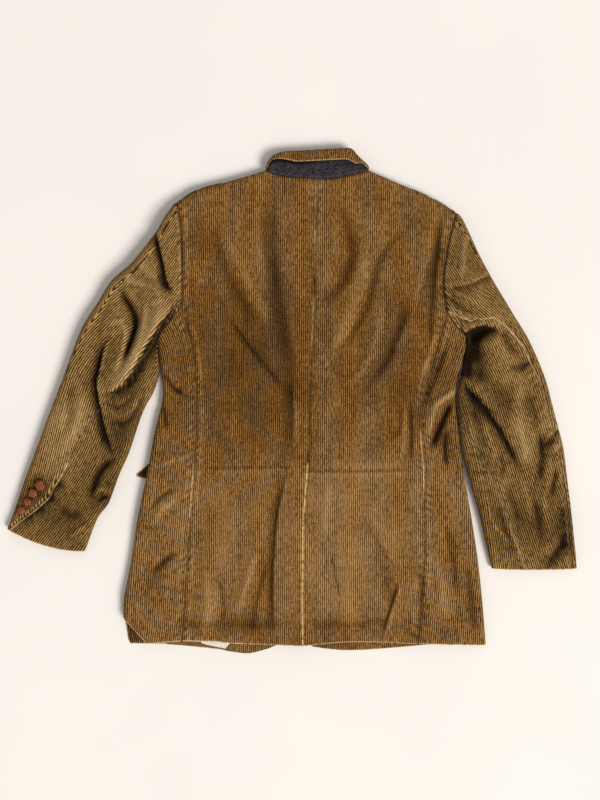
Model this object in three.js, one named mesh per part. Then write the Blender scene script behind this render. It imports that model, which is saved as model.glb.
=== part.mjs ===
// A corduroy jacket laid flat with its back up. Millimetres, +Z up, +Y towards the collar,
// the wearer's left towards -X. The origin is on the surface under the middle of the jacket.
import * as THREE from 'three';
import { mergeVertices } from 'three/addons/utils/BufferGeometryUtils.js';

// Driving sizes
const wall = 2;
const seamGap = 0.32;
const layerGap = 0.4;
const thinWall = 1.2;
const backHeight = 17;
const padHeight = 7;
const frontOnFloor = wall / 2;
const frontOnLapel = wall + layerGap + wall / 2;
const overlapLift = wall + 0.9;
const shoulderGap = 0.2;
const liftStart = -240;
const liftEnd = -205;
const armRows = [0, 0.012, 0.05, 0.11, 0.23, 0.38, 0.54, 0.7, 0.86, 1];
const seamRows = 14;
const sideUpper = 6;
const sideLower = 5;
const shoulderColumns = 6;
const neckColumns = 5;
const sleeveSteps = 20;

const cloths = {
  back: [0x7b572a, 0.92], side: [0x6f4f27, 0.92], front: [0x735128, 0.92], sleeve: [0x86683a, 0.92],
  inside: [0x7d6138, 0.9], felt: [0x363135, 0.95], lining: [0xd9d5cc, 0.7], leather: [0x8a4b26, 0.5],
};

const table = (columns, rows) =>
  rows.map((row) => Object.fromEntries(columns.map((name, i) => [name, row[i]])));

// Edges and seams of the body, read across at each level
const levels = table(['y', 'leftEdge', 'leftSeam', 'centre', 'rightSeam', 'rightEdge'], [
  [361, -224, -181, 40, 252, 290],
  [152, -223, -181, 35, 252, 290],
  [103, -220, -166, 33, 241, 287],
  [59, -214, -159, 31, 228, 275],
  [10, -209, -156, 29, 214, 266],
  [-47, -222, -156, 28, 209, 270],
  [-112, -234, -160, 25, 214, 278],
  [-194, -251, -166, 19, 214, 292],
  [-259, -261, -171, 18, 214, 302],
  [-324, -272, -175, 17, 209, 309],
  [-398, -274, -179, 18, 204, 315],
]);

// Seams and edges in plan, each from its start
const outline = {
  armholeLeft: [[-186, 323], [-180, 285], [-178, 246], [-178, 181], [-181, 152]],
  armholeRight: [[266, 306], [254, 261], [247, 215], [246, 180], [252, 143]],
  underarmLeft: [[-181, 152], [-199, 129], [-220, 104]],
  underarmRight: [[252, 143], [266, 122], [287, 103]],
  shoulderLeft: [[-186, 323], [-152, 343], [-102, 357], [-71, 366], [-42, 375]],
  shoulderRight: [[266, 306], [226, 330], [174, 353], [124, 375]],
  neckLeft: [[-42, 375], [-24, 368], [13, 363], [40, 361]],
  neckRight: [[124, 375], [94, 367], [67, 362], [40, 361]],
  hemLeft: [[-179, -390], [-126, -391], [-93, -394], [18, -398]],
  hemRight: [[204, -395], [142, -392], [84, -392], [18, -398]],
  frontEdgeLeft: [
    [-42, 375], [-20, 300], [10, 100], [38, -20], [41, -200], [22, -330], [-8, -388], [-38, -405]],
  frontEdgeRight: [
    [124, 375], [90, 300], [40, 100], [2, -20], [0, -200], [10, -330], [19, -385], [34, -402]],
  frontHemLeft: [[-204, -398], [-126, -406], [-93, -411], [-70, -412.8], [-38, -405]],
  frontHemRight: [[240, -398], [156, -405], [113, -408], [78, -408], [34, -402]],
  collarRoll: [[-42, 380], [-33, 396], [-15, 406], [20, 408], [67, 410.8], [95, 410], [106, 398], [125, 380]],
};

// Folds that stand up (height above 0) or sink, broad on one hand of the path and narrow on the other
const foldColumns = ['height', 'leftWidth', 'rightWidth', 'path'];
const bodyFolds = table(foldColumns, [
  [-2.6, 13, 15, [[-28, 298], [-26, 143], [-15, 91], [-2, 26], [-2, -64]]],
  [-2.4, 10, 12, [[-15, -129], [-28, -199], [-33, -315], [-34, -390]]],
  [-1.8, 9, 9, [[-108, 137], [-82, 106], [-55, 75], [-2, 0]]],
  [3.2, 14, 12, [[122, 253], [101, 194], [91, 130], [65, 85]]],
  [-2.6, 11, 12, [[210, 194], [179, 130], [158, 83], [132, 39]]],
  [-2.2, 12, 12, [[236, 300], [233, 236], [225, 181]]],
  [2.2, 9, 9, [[35, -104], [112, -104], [197, -102]]],
  [3.4, 12, 5, [[-212, 44], [-196, 28], [-179, 21]]],
  [3.4, 5, 12, [[264, 22], [250, 8], [235, -1]]],
  [3, 10, 10, [[-183, -145], [-231, -178]]],
  [-2.4, 10, 10, [[-199, -243], [-240, -308]]],
  [-2.4, 12, 12, [[135, -227], [168, -341]]],
  [2.6, 16, 16, [[-110, -200], [-125, -300], [-150, -380]]],
  [2.4, 16, 16, [[80, -230], [95, -380]]],
]);

const sleeveColumns = ['outerX', 'outerY', 'innerX', 'innerY', 'top', 'hind', 'fore'];
const sleeves = {
  left: {
    rows: table(sleeveColumns, [
      [-186, 323, -220, 104, 26, 0.80, 1.25],
      [-192, 317, -227, 101, 28, 0.80, 1.25],
      [-205, 300, -229, 88, 31, 0.82, 1.25],
      [-220, 274, -229, 70, 31, 0.82, 1.25],
      [-259, 225, -228, 42, 28, 0.76, 1.25],
      [-292, 196, -231, 15, 26, 0.72, 1.25],
      [-315, 160, -241, -7, 25, 0.71, 1.25],
      [-342, 116, -251, -29, 24, 0.66, 1.25],
      [-370, 42, -266, -83, 23, 0.50, 1.25],
      [-394, -20, -282, -119, 21, 0.42, 1.25],
      [-417, -82, -300, -166, 19, 0.40, 1.25],
      [-437, -135, -319, -192, 17, 0.35, 1.25],
      [-463, -202, -339, -242, 14, 0.13, 1.25],
    ]),
    folds: table(foldColumns, [
      [7.5, 6, 22, [[-183, 152], [-205, 139], [-222, 108], [-238, 78], [-261, 42], [-279, 16], [-306, 6]]],
      [-5, 8, 8, [[-284, 112], [-300, 80], [-308, 51], [-313, 20]]],
      [-5, 11, 11, [[-220, 274], [-209, 227], [-196, 171]]],
      [5, 10, 10, [[-282, 202], [-256, 192], [-231, 181], [-205, 165]]],
      [-5, 8, 8, [[-256, 150], [-251, 130], [-253, 114], [-275, 62]]],
      [-3.5, 8, 8, [[-311, 11], [-305, -21], [-295, -60], [-272, -93]]],
      [3, 8, 8, [[-357, -224], [-328, -205]]],
      [-3, 7, 7, [[-320, -145], [-293, -170]]],
    ]),
    lift: [],
  },
  right: {
    rows: table(sleeveColumns, [
      [266, 306, 287, 103, 26, 0.80, 1.25],
      [273, 300, 290.5, 104, 28, 0.80, 1.25],
      [280, 287, 291.5, 91, 31, 0.78, 1.25],
      [300, 243, 291, 74, 31, 0.68, 1.23],
      [323, 200, 284, 46, 30, 0.44, 1.20],
      [344, 165, 276, 21, 29, 0.22, 1.15],
      [362, 135, 276, -3, 27, 0.13, 1.08],
      [385, 98, 279, -37, 25, 0.09, 0.98],
      [411, 37, 285, -88, 23, 0.07, 0.86],
      [429, -31, 296, -140, 21, 0.06, 0.80],
      [442, -83, 305, -181, 19, 0.06, 0.76],
      [452, -170, 316, -228, 17, 0.06, 0.70],
      [463, -266, 327, -272, 15, 0.06, 0.61],
    ]),
    folds: table(foldColumns, [
      [-6, 9, 9, [[271, 30], [306, -5], [349, -47], [375, -117]]],
      [-7, 9, 9, [[285, 99], [303, 109], [318, 119]]],
      [-9, 11, 13, [[293, 95], [302, 64], [306, 26]]],
      [5, 18, 18, [[322, 112], [345, 60], [352, 20]]],
      [-3, 8, 8, [[395, -40], [425, -95]]],
      [3, 10, 10, [[400, -245], [440, -225]]],
      [3.5, 12, 12, [[330, -110], [352, -190]]],
    ]),
    // Where the cuff buttons under the vent hold the lower cloth off the surface
    lift: table(foldColumns, [
      [11, 28, 28, [[436, -145], [444, -205], [450, -275]]],
    ]),
  },
};

const buttonColumns = ['x', 'y', 'radius'];
const cuffButtons = {
  left: table(buttonColumns, [[-410, -137, 8], [-422, -150, 7.6], [-431, -164, 7.4], [-441, -178, 7.2]]),
  right: table(buttonColumns, [[441, -183, 7.6], [443, -201, 7.6], [445, -219, 7.6], [447, -237, 7.6]]),
};
const frontButtons = table(['x', 'y'], [[20, -40], [20, -150]]);

// A button of knotted leather, turned about its own axis: from its shank to its crown
const profileColumns = ['reach', 'height'];
const cuffProfile = table(profileColumns, [
  [0, 0], [0.36, 0], [0.4, 0.12], [0.86, 0.26], [1, 0.44], [0.84, 0.66], [0.5, 0.8], [0, 0.84]]);
const discProfile = table(profileColumns, [[0, 0], [0.9, 0], [1, 0.05], [1, 0.13], [0.9, 0.19], [0, 0.19]]);
const frontButtonRadius = 10;
const buttonSides = 12;

// Width of each lapel down its roll line, and of the collar's turned-over strip along the collar
const widthColumns = ['share', 'width'];
const lapelWidths = table(widthColumns, [[0, 24], [0.12, 74], [0.2, 90], [0.26, 80], [0.6, 52], [1, 8]]);
const lapelEnd = { left: 0.5, right: 0.36 };
const stripWidths = table(widthColumns, [
  [0, 3.4], [0.12, 9], [0.22, 16], [0.8, 18.5], [0.92, 14], [1, 3.4]]);
const feltWall = 1.6;
const collarRise = 1.5;
const rollRadius = 3.2;

// Corners of each pocket flap: rear top, rear bottom, front bottom, front top
const flaps = {
  left: [[-213, -85], [-257, -122], [-105, -142], [-90, -92]],
  right: [[255, -85], [262, -128], [112, -142], [104, -90]],
};
const ventTop = -100;
// How far the upper layer of the left side stands above its lower one at the fold of the hem
const hemRise = 44;

const at = (x, y, z = 0) => new THREE.Vector3(x, y, z);
const clamp = (value) => Math.min(1, Math.max(0, value));
const mix = THREE.MathUtils.lerp;
const smooth = (from, to, value) => THREE.MathUtils.smoothstep(value, from, to);
// Height up a quarter circle, from 0 at the edge to 1 one radius in
const quarterRound = (ratio) => Math.sqrt(1 - (1 - clamp(ratio)) ** 2);

const curveOf = (points) =>
  new THREE.CatmullRomCurve3(points.map(([x, y]) => at(x, y)), false, 'catmullrom', 0.4);

/** Reads one column of a table at a level between its rows, smoothly. */
function readLevel(column, y) {
  const last = levels.length - 1;
  const found = levels.findIndex((row) => row.y <= y);
  const i = Math.max(1, found < 0 ? last : found);
  const [a, b] = [levels[i - 1], levels[i]];
  const slope = (j) => {
    const [p, q] = [levels[Math.max(0, j - 1)], levels[Math.min(last, j + 1)]];
    return (q[column] - p[column]) / (q.y - p.y);
  };
  const span = b.y - a.y;
  const t = clamp((y - a.y) / span);
  const [t2, t3] = [t * t, t * t * t];
  return (2 * t3 - 3 * t2 + 1) * a[column] + (t3 - 2 * t2 + t) * span * slope(i - 1)
    + (3 * t2 - 2 * t3) * b[column] + (t3 - t2) * span * slope(i);
}

/** Finds the place on a path nearest to a point: distance, hand (+1 left) and share of its length. */
function nearest(path, x, y) {
  let best = { distance: Infinity, hand: 1, share: 0 };
  const lengths = path.slice(1).map((p, i) => Math.hypot(p[0] - path[i][0], p[1] - path[i][1]));
  const total = lengths.reduce((sum, length) => sum + length, 0);
  let passed = 0;
  lengths.forEach((length, i) => {
    const [ax, ay] = path[i];
    const [dx, dy] = [(path[i + 1][0] - ax) / length, (path[i + 1][1] - ay) / length];
    const along = Math.min(length, Math.max(0, (x - ax) * dx + (y - ay) * dy));
    const distance = Math.hypot(x - ax - dx * along, y - ay - dy * along);
    const hand = dx * (y - ay) - dy * (x - ax) >= 0 ? 1 : -1;
    if (distance < best.distance) best = { distance, hand, share: (passed + along) / total };
    passed += length;
  });
  return best;
}

/** Adds up the folds of a table at a point. Each fold fades towards its ends. */
function foldHeight(folds, x, y) {
  return folds.reduce((sum, fold) => {
    const { distance, hand, share } = nearest(fold.path, x, y);
    const width = hand > 0 ? fold.leftWidth : fold.rightWidth;
    const fade = 0.25 + 0.75 * smooth(0, 0.22, share) * smooth(0, 0.22, 1 - share);
    return sum + fold.height * fade * Math.exp(-((distance / width) ** 2));
  }, 0);
}

const bump = (x, y, cx, cy, size) => Math.exp(-((x - cx) ** 2 + (y - cy) ** 2) / size ** 2);

const backTop = (x, y) => backHeight + padHeight * (bump(x, y, -160, 300, 75) + bump(x, y, 235, 285, 75))
  + 1.2 * Math.sin(x / 41 + y / 95) * Math.sin(y / 62) + foldHeight(bodyFolds, x, y);
const frontLevel = (y) => mix(frontOnFloor, frontOnLapel, smooth(liftStart, liftEnd, y));

const shoulders = [outline.shoulderLeft, outline.shoulderRight];

/** Height of a layer of the body, turned in to half height at the shoulder edge. */
function bodyHeight(x, y, upper, lift = 0) {
  const [top, bottom] = [backTop(x, y), frontLevel(y)];
  const half = (top - bottom) / 2;
  const distance = Math.min(...shoulders.map((path) => nearest(path, x, y).distance));
  const round = quarterRound(distance / half);
  const apart = upper ? shoulderGap : -shoulderGap;
  return (top + bottom) / 2 + apart + (upper ? half - shoulderGap : lift - half + shoulderGap) * round;
}

/** A ruled grid of points with the direction that faces out at each one. */
class Sheet {
  constructor(points, flip, closed = false) {
    this.points = points;
    const columns = points[0].length;
    const held = (i) => (closed ? (i + columns) % columns : Math.min(columns - 1, Math.max(0, i)));
    const pick = (j, i) => points[j][held(i)];
    this.normals = points.map((row, j) => row.map((_, i) => {
      const across = pick(j, i + 1).clone().sub(pick(j, i - 1));
      const along = pick(Math.min(points.length - 1, j + 1), i).clone().sub(pick(Math.max(0, j - 1), i));
      return across.cross(along).normalize().multiplyScalar(flip);
    }));
  }

  /** Part of the sheet; columns run round past the end on a closed one. */
  part(rowFrom, rowTo, columnFrom, columnTo) {
    const columns = this.points[0].length;
    const cut = (grid) => grid.slice(rowFrom, rowTo + 1).map((row) =>
      Array.from({ length: columnTo - columnFrom + 1 }, (_, i) => row[(columnFrom + i) % columns].clone()));
    const piece = Object.create(Sheet.prototype);
    piece.points = cut(this.points);
    piece.normals = cut(this.normals);
    return piece;
  }

  /** The same sheet moved along its own facing direction. */
  moved(distance) {
    const copy = this.part(0, this.points.length - 1, 0, this.points[0].length - 1);
    copy.points.forEach((row, j) => row.forEach((p, i) => p.addScaledVector(copy.normals[j][i], distance)));
    return copy;
  }
}

/** Gives two seam edges the same facing direction, so that their walls end parallel. */
function joinSeam(pairs) {
  pairs.forEach(([[a, ja, ia], [b, jb, ib]]) => {
    const shared = a.normals[ja][ia].clone().add(b.normals[jb][ib]).normalize();
    a.normals[ja][ia] = shared.clone();
    b.normals[jb][ib] = shared;
  });
}

const material = (kind) => {
  const [color, roughness] = cloths[kind];
  return new THREE.MeshStandardMaterial({ color, roughness, metalness: 0 });
};

const jacket = new THREE.Group();

function addMesh(name, geometry, kind) {
  const mesh = new THREE.Mesh(geometry, material(kind));
  mesh.name = name;
  jacket.add(mesh);
}

/** Gives a sheet its wall, drawn back by half a seam gap all round, and closes its rim. */
function addCloth(name, sheet, kind, thickness = wall) {
  const rows = sheet.points.length;
  const columns = sheet.points[0].length;
  const inset = sheet.points.map((row, j) => row.map((p, i) => {
    const moved = p.clone();
    const draw = (neighbour) => moved.addScaledVector(neighbour.clone().sub(p).normalize(), seamGap / 2);
    if (j === 0) draw(sheet.points[1][i]);
    if (j === rows - 1) draw(sheet.points[rows - 2][i]);
    if (i === 0) draw(row[1]);
    if (i === columns - 1) draw(row[columns - 2]);
    return moved;
  }));
  const positions = [];
  [0.5, -0.5].forEach((side) => inset.forEach((row, j) => row.forEach((p, i) => {
    positions.push(...p.clone().addScaledVector(sheet.normals[j][i], side * thickness).toArray());
  })));
  const count = rows * columns;
  const index = (j, i) => j * columns + i;
  const faces = [];
  const quad = (a, b, c, d) => faces.push(a, b, c, a, c, d);
  for (let j = 0; j < rows - 1; j += 1) {
    for (let i = 0; i < columns - 1; i += 1) {
      const [a, b, c, d] = [index(j, i), index(j, i + 1), index(j + 1, i + 1), index(j + 1, i)];
      quad(a, b, c, d);
      quad(c + count, b + count, a + count, d + count);
    }
  }
  const rim = [];
  for (let i = 0; i < columns - 1; i += 1) rim.push([index(0, i + 1), index(0, i)]);
  for (let j = 0; j < rows - 1; j += 1) rim.push([index(j, 0), index(j + 1, 0)]);
  for (let i = 0; i < columns - 1; i += 1) rim.push([index(rows - 1, i), index(rows - 1, i + 1)]);
  for (let j = rows - 1; j > 0; j -= 1) rim.push([index(j, columns - 1), index(j - 1, columns - 1)]);
  rim.forEach(([a, b]) => quad(a, b, b + count, a + count));
  const geometry = new THREE.BufferGeometry();
  geometry.setAttribute('position', new THREE.Float32BufferAttribute(positions, 3));
  geometry.setIndex(faces);
  if (signedVolume(positions, faces) < 0) {
    geometry.setIndex(faces.slice().reverse());
  }
  addMesh(name, geometry, kind);
}

function signedVolume(positions, faces) {
  const corner = (k) => at(...positions.slice(3 * k, 3 * k + 3));
  let sum = 0;
  for (let f = 0; f < faces.length; f += 3) {
    sum += corner(faces[f]).dot(corner(faces[f + 1]).cross(corner(faces[f + 2])));
  }
  return sum / 6;
}

/** A plan grid filled in between four edges, given as lists of points that meet at the corners. */
function fillPlan(left, right, top, bottom) {
  const [rows, columns] = [left.length, top.length];
  const acrossOf = top.map((p) => clamp((p.x - top[0].x) / (top[columns - 1].x - top[0].x)));
  const downOf = left.map((p) => (left[0].y - p.y) / (left[0].y - left[rows - 1].y));
  const blend = (a, b, t) => a.clone().lerp(b, t);
  return left.map((_, j) => top.map((__, i) => {
    const [u, v] = [acrossOf[i], downOf[j]];
    const ruled = blend(left[j], right[j], u);
    const topBow = top[i].clone().sub(blend(top[0], top[columns - 1], u));
    const bottomBow = bottom[i].clone().sub(blend(bottom[0], bottom[columns - 1], u));
    return ruled.addScaledVector(topBow, 1 - v).addScaledVector(bottomBow, v);
  }));
}

const even = (count) => Array.from({ length: count + 1 }, (_, i) => i / count);
const along = (points, shares) => {
  const curve = curveOf(points);
  return shares.map((share) => curve.getPointAt(share));
};
const joined = (first, second) => [...first, ...second.slice(1)];
/** How far down each point of an edge lies, from 0 at its start to 1 at its end. */
const dropsOf = (edge) => edge.map((p) => (edge[0].y - p.y) / (edge[0].y - edge[edge.length - 1].y));
const quarterTurn = Math.PI / 2;
const crossing = (share) => Math.acos(1 - 2 * (share <= 1 ? share : 2 - share)) / (2 * Math.PI);
const turnAt = (share) => (share <= 1 ? crossing(share) : 1 - crossing(share));

/** Everything on one side of the centre back. Returns the sheets that share seams with it. */
function buildHalf(side) {
  const isLeft = side === 'left';
  const cap = isLeft ? 'Left' : 'Right';
  const column = (name, y) => readLevel(`${side}${name}`, y);
  const facing = isLeft ? -1 : 1;

  const armhole = along(outline[`armhole${cap}`], armRows);
  const seamTop = armhole[armhole.length - 1];
  const hem = curveOf(outline[`hem${cap}`]);
  const seamLevels = even(seamRows).map((t) => mix(seamTop.y, hem.getPointAt(0).y, t));
  const seam = seamLevels.map((y, j) => {
    if (j === 0) return seamTop.clone();
    return j === seamRows ? hem.getPointAt(0) : at(column('Seam', y), y);
  });
  const backSide = joined(armhole, seam);
  const shoulder = along(outline[`shoulder${cap}`], even(shoulderColumns));
  const top = joined(shoulder, along(outline[`neck${cap}`], even(neckColumns)));
  const across = top.map((p) => (p.x - top[0].x) / (top[top.length - 1].x - top[0].x));
  const bottom = across.map((share) => hem.getPointAt(share));
  const drop = dropsOf(backSide);
  const centre = drop.map((share) => {
    const y = mix(361, -398, share);
    return at(readLevel('centre', y), y);
  });
  const backPlan = fillPlan(backSide, centre, top, bottom);
  backPlan.forEach((row) => row.forEach((p) => { p.z = bodyHeight(p.x, p.y, true); }));
  const back = new Sheet(backPlan, facing);

  // The side body runs from the back seam over the folded edge and on under the jacket
  const underarm = curveOf(outline[`underarm${cap}`]);
  const upperShares = even(sideUpper).map((t) => Math.sin(quarterTurn * t));
  const lowerShares = even(sideLower).map((t) => 1 - Math.cos(quarterTurn * t));
  const edgeTop = underarm.getPointAt(1);
  const frontHem = curveOf(outline[`frontHem${cap}`]);
  const lowEnd = frontHem.getPointAt(0);
  const sidePoints = seam.map((seamPoint, j) => {
    const v = j / seamRows;
    const edgeY = mix(edgeTop.y, -397, v);
    const edge = at(j === 0 ? edgeTop.x : column('Edge', edgeY), edgeY);
    const lowY = mix(seamTop.y, lowEnd.y, v);
    const low = at(mix(seamTop.x, lowEnd.x, v ** 1.5), lowY);
    const rise = isLeft ? hemRise * smooth(0.8, 1, v) : 0;
    const rowPoint = (share, upper) => {
      const p = upper ? seamPoint.clone().lerp(edge, share) : edge.clone().lerp(low, share);
      const chord = seamTop.clone().lerp(edgeTop, upper ? share : 1 - share);
      const bow = underarm.getPointAt(upper ? share : 1 - share).sub(chord);
      p.addScaledVector(bow, (1 - v) ** 3);
      p.y += rise * (upper ? clamp((share - 0.6) / 0.4) : 1 - smooth(0, 0.12, share));
      const [ceiling, floor] = [backTop(p.x, p.y), frontLevel(p.y)];
      const half = (ceiling - floor) / 2;
      const reach = upper ? p.distanceTo(at(edge.x, p.y)) : Math.abs(p.x - edge.x);
      const round = quarterRound(reach / half);
      p.z = (ceiling + floor) / 2 + (upper ? half : -half) * round;
      return p;
    };
    const upperRow = upperShares.map((share) => rowPoint(share, true));
    return joined(upperRow, lowerShares.map((share) => rowPoint(share, false)));
  });
  const body = new Sheet(sidePoints, -facing);

  // The front lies beneath, from the same armhole line to its own edge
  const lowSeam = sidePoints.map((row) => row[row.length - 1].clone().setZ(0));
  const frontSide = joined(armhole.map((p) => p.clone()), lowSeam);
  const frontTop = shoulder.map((p) => p.clone());
  const frontWidth = frontTop[shoulderColumns].x - frontTop[0].x;
  const frontShare = frontTop.map((p) => (p.x - frontTop[0].x) / frontWidth);
  const frontBottom = frontShare.map((share) => frontHem.getPointAt(share));
  const frontEdge = along(outline[`frontEdge${cap}`], dropsOf(frontSide));
  const frontPlan = fillPlan(frontSide, frontEdge, frontTop, frontBottom);
  frontPlan.forEach((row) => row.forEach((p) => {
    const lift = isLeft ? 0 : overlapLift * (1 - smooth(52, 78, p.x)) * (1 - smooth(80, 150, p.y));
    p.z = bodyHeight(p.x, p.y, false, lift);
  }));
  const front = new Sheet(frontPlan, -facing);

  // The sleeve starts on the armhole ring: down the back, round the underarm, up the front
  const split = armRows.length - 1;
  const underEnd = split + sideUpper + sideLower;
  const ringCount = underEnd + split;
  const ring = [
    ...back.points.slice(0, split + 1).map((row) => row[0]),
    ...sidePoints[0].slice(1),
    ...front.points.slice(1, split).reverse().map((row) => row[0]),
  ].map((p) => p.clone());
  const { rows, folds, lift } = sleeves[side];
  const outer = curveOf(rows.map((row) => [row.outerX, row.outerY]));
  const inner = curveOf(rows.map((row) => [row.innerX, row.innerY]));
  const rowValue = (name, t) => {
    const k = Math.min(rows.length - 2, Math.floor(t));
    return mix(rows[k][name], rows[k + 1][name], smooth(0, 1, t - k) * 0.5 + (t - k) * 0.5);
  };
  const stations = joined([0, 1, 1.5], even(sleeveSteps - 2).map((t) => mix(1.5, rows.length - 1, t)));
  const turnOf = (k, station) => {
    const [hind, fore] = [turnAt(rowValue('hind', station)), turnAt(rowValue('fore', station))];
    if (k >= split && k <= underEnd) return mix(hind, fore, (k - split) / (underEnd - split));
    const passed = (k - underEnd + ringCount) % ringCount;
    return mix(fore, 1 + hind, passed / (ringCount - underEnd + split)) % 1;
  };
  const reachAt = (turn) => (1 - Math.cos(2 * Math.PI * turn)) / 2;
  const sleevePoints = stations.map((station, j) => {
    const share = station / (rows.length - 1);
    const [from, to] = [outer.getPoint(share), inner.getPoint(share)];
    const keep = Math.max(0, 1 - Math.max(0, station - 1) / 2.5) ** 2;
    return ring.map((start, k) => {
      if (j === 0) return start.clone();
      const wrapped = turnOf(k, station);
      const reach = reachAt(wrapped);
      const p = from.clone().lerp(to, reach);
      const straight = outer.getPoint(0).lerp(inner.getPoint(0), reachAt(turnOf(k, 0)));
      p.add(start.clone().setZ(0).sub(straight).multiplyScalar(keep));
      const lowest = frontOnFloor + foldHeight(lift, p.x, p.y);
      const highest = rowValue('top', station) + foldHeight(folds, p.x, p.y);
      const half = (highest - lowest) / 2;
      const width = from.distanceTo(to);
      const round = quarterRound((Math.min(reach, 1 - reach) * width) / half);
      const own = (highest + lowest) / 2 + (wrapped < 0.5 ? half : -half) * round;
      p.z = mix(own, start.z, keep * 0.5);
      return p;
    });
  });
  const sleeve = new Sheet(sleevePoints, facing, true);

  const seamPairs = [];
  for (let k = 0; k <= split; k += 1) seamPairs.push([[sleeve, 0, k], [back, k, 0]]);
  for (let k = 1; k <= sideUpper + sideLower; k += 1) seamPairs.push([[sleeve, 0, split + k], [body, 0, k]]);
  for (let k = 1; k < split; k += 1) seamPairs.push([[sleeve, 0, ringCount - k], [front, k, 0]]);
  for (let k = 0; k <= seamRows; k += 1) {
    seamPairs.push([[back, split + k, 0], [body, k, 0]]);
    seamPairs.push([[front, split + k, 0], [body, k, sideUpper + sideLower]]);
  }
  for (let i = 0; i <= shoulderColumns; i += 1) seamPairs.push([[back, 0, i], [front, 0, i]]);
  joinSeam(seamPairs);

  addCloth(`side_${side}`, body, 'side');
  addCloth(`front_${side}`, front, 'front');
  const lastRow = stations.length - 1;
  addCloth(`sleeve_under_${side}`, sleeve.part(0, lastRow, split, underEnd), 'sleeve');
  addCloth(`sleeve_top_${side}`, sleeve.part(0, lastRow, underEnd, ringCount + split), 'sleeve');
  return { back, front, sleeve };
}

/** Reads a width from a table of shares, straight between its rows. */
function widthAt(rows, share) {
  const i = Math.max(1, rows.findIndex((row) => row.share >= share));
  const [a, b] = [rows[i - 1], rows[i]];
  return mix(a.width, b.width, (share - a.share) / (b.share - a.share));
}

/** The point on a sheet's facets above or below a place in plan, with the facet's direction. */
function surfaceAt(sheet, x, y, upward) {
  for (let j = 0; j < sheet.points.length - 1; j += 1) {
    for (let i = 0; i < sheet.points[0].length - 1; i += 1) {
      if ((sheet.normals[j][i].z > 0) !== upward) continue;
      const [a, b] = [sheet.points[j][i], sheet.points[j][i + 1]];
      const [c, d] = [sheet.points[j + 1][i + 1], sheet.points[j + 1][i]];
      for (const corners of [[a, b, c], [a, c, d]]) {
        const facet = new THREE.Triangle(...corners);
        const flat = new THREE.Triangle(...corners.map((p) => at(p.x, p.y)));
        if (Math.abs(flat.getArea()) > 0.01 && flat.containsPoint(at(x, y))) {
          const normal = facet.getNormal(at(0, 0));
          if ((normal.z > 0) !== upward) normal.negate();
          const z = facet.a.z - (normal.x * (x - facet.a.x) + normal.y * (y - facet.a.y)) / normal.z;
          return { point: at(x, y, z), normal };
        }
      }
    }
  }
  throw new Error(`no cloth at ${x}, ${y}`);
}

/** A turned button with its axis along a given direction. */
function addButton(name, profile, radius, foot, direction) {
  const turned = profile.map((row) => new THREE.Vector2(row.reach * radius, row.height * radius));
  const lathe = new THREE.LatheGeometry(turned, buttonSides);
  lathe.deleteAttribute('normal');
  lathe.deleteAttribute('uv');
  const geometry = mergeVertices(lathe);
  geometry.applyQuaternion(new THREE.Quaternion().setFromUnitVectors(at(0, 1), direction));
  geometry.translate(foot.x, foot.y, foot.z);
  addMesh(name, geometry, 'leather');
}

/** The part of the right back that runs on under the left back below the top of the vent. */
function addVentUnderlay(left, right, lastColumn) {
  const first = left.points.findIndex((row) => row[lastColumn].y < ventTop);
  const rows = left.points.length - 1;
  const under = left.part(first, rows, lastColumn - 3, lastColumn);
  const beyond = right.part(first, rows, lastColumn - 1, lastColumn - 1);
  under.points.forEach((row, j) => {
    row.push(beyond.points[j][0]);
    under.normals[j].push(beyond.normals[j][0]);
  });
  addCloth('vent_underlay', under.moved(-(wall + layerGap)), 'inside');
}

/** A lapel folded out under its front along the roll line. */
function addLapel(side) {
  const isLeft = side === 'left';
  const outward = isLeft ? -1 : 1;
  const roll = curveOf(outline[isLeft ? 'frontEdgeLeft' : 'frontEdgeRight']);
  const points = even(8).map((t) => {
    const start = roll.getPointAt(mix(0.02, lapelEnd[side], t));
    const width = widthAt(lapelWidths, t);
    return even(2).map((u) => at(start.x + outward * (2 + width * u), start.y, frontOnFloor));
  });
  addCloth(`lapel_${side}`, new Sheet(points, isLeft ? -1 : 1), 'front');
}

/** A pocket flap under its front, its two rear corners rounded off. */
function addFlap(side) {
  const [rearTop, rearBottom, frontBottom, frontTop] = flaps[side].map(([x, y]) => at(x, y, frontOnFloor));
  const points = [0, 0.02, 0.06, 0.3, 0.65, 1].map((t) => {
    const [upper, lower] = [rearTop.clone().lerp(frontTop, t), rearBottom.clone().lerp(frontBottom, t)];
    const cut = (1 - quarterRound(t / 0.06)) * 0.16;
    return even(3).map((u) => upper.clone().lerp(lower, mix(cut * 0.3, 1 - cut, u)));
  });
  addCloth(`flap_${side}`, new Sheet(points, -1), 'front');
}

const hemStrips = table(['name', 'from', 'to', 'depth', 'kind'], [
  ['turnup_left', 0, 2, 1, 'inside'],
  ['lining_left', 2, 4, 2, 'lining'],
  ['facing_left', 4, 6, 1, 'inside'],
]);

/** What shows inside the hem of the left front: its turn-up, lining and facing. */
function addHemInside(front) {
  const last = front.points.length - 1;
  hemStrips.forEach(({ name, from, to, depth, kind }) => {
    const strip = front.part(last - depth, last, from, to);
    addCloth(name, strip.moved(-(wall / 2 + layerGap + thinWall / 2)), kind, thinWall);
  });
}

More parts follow.
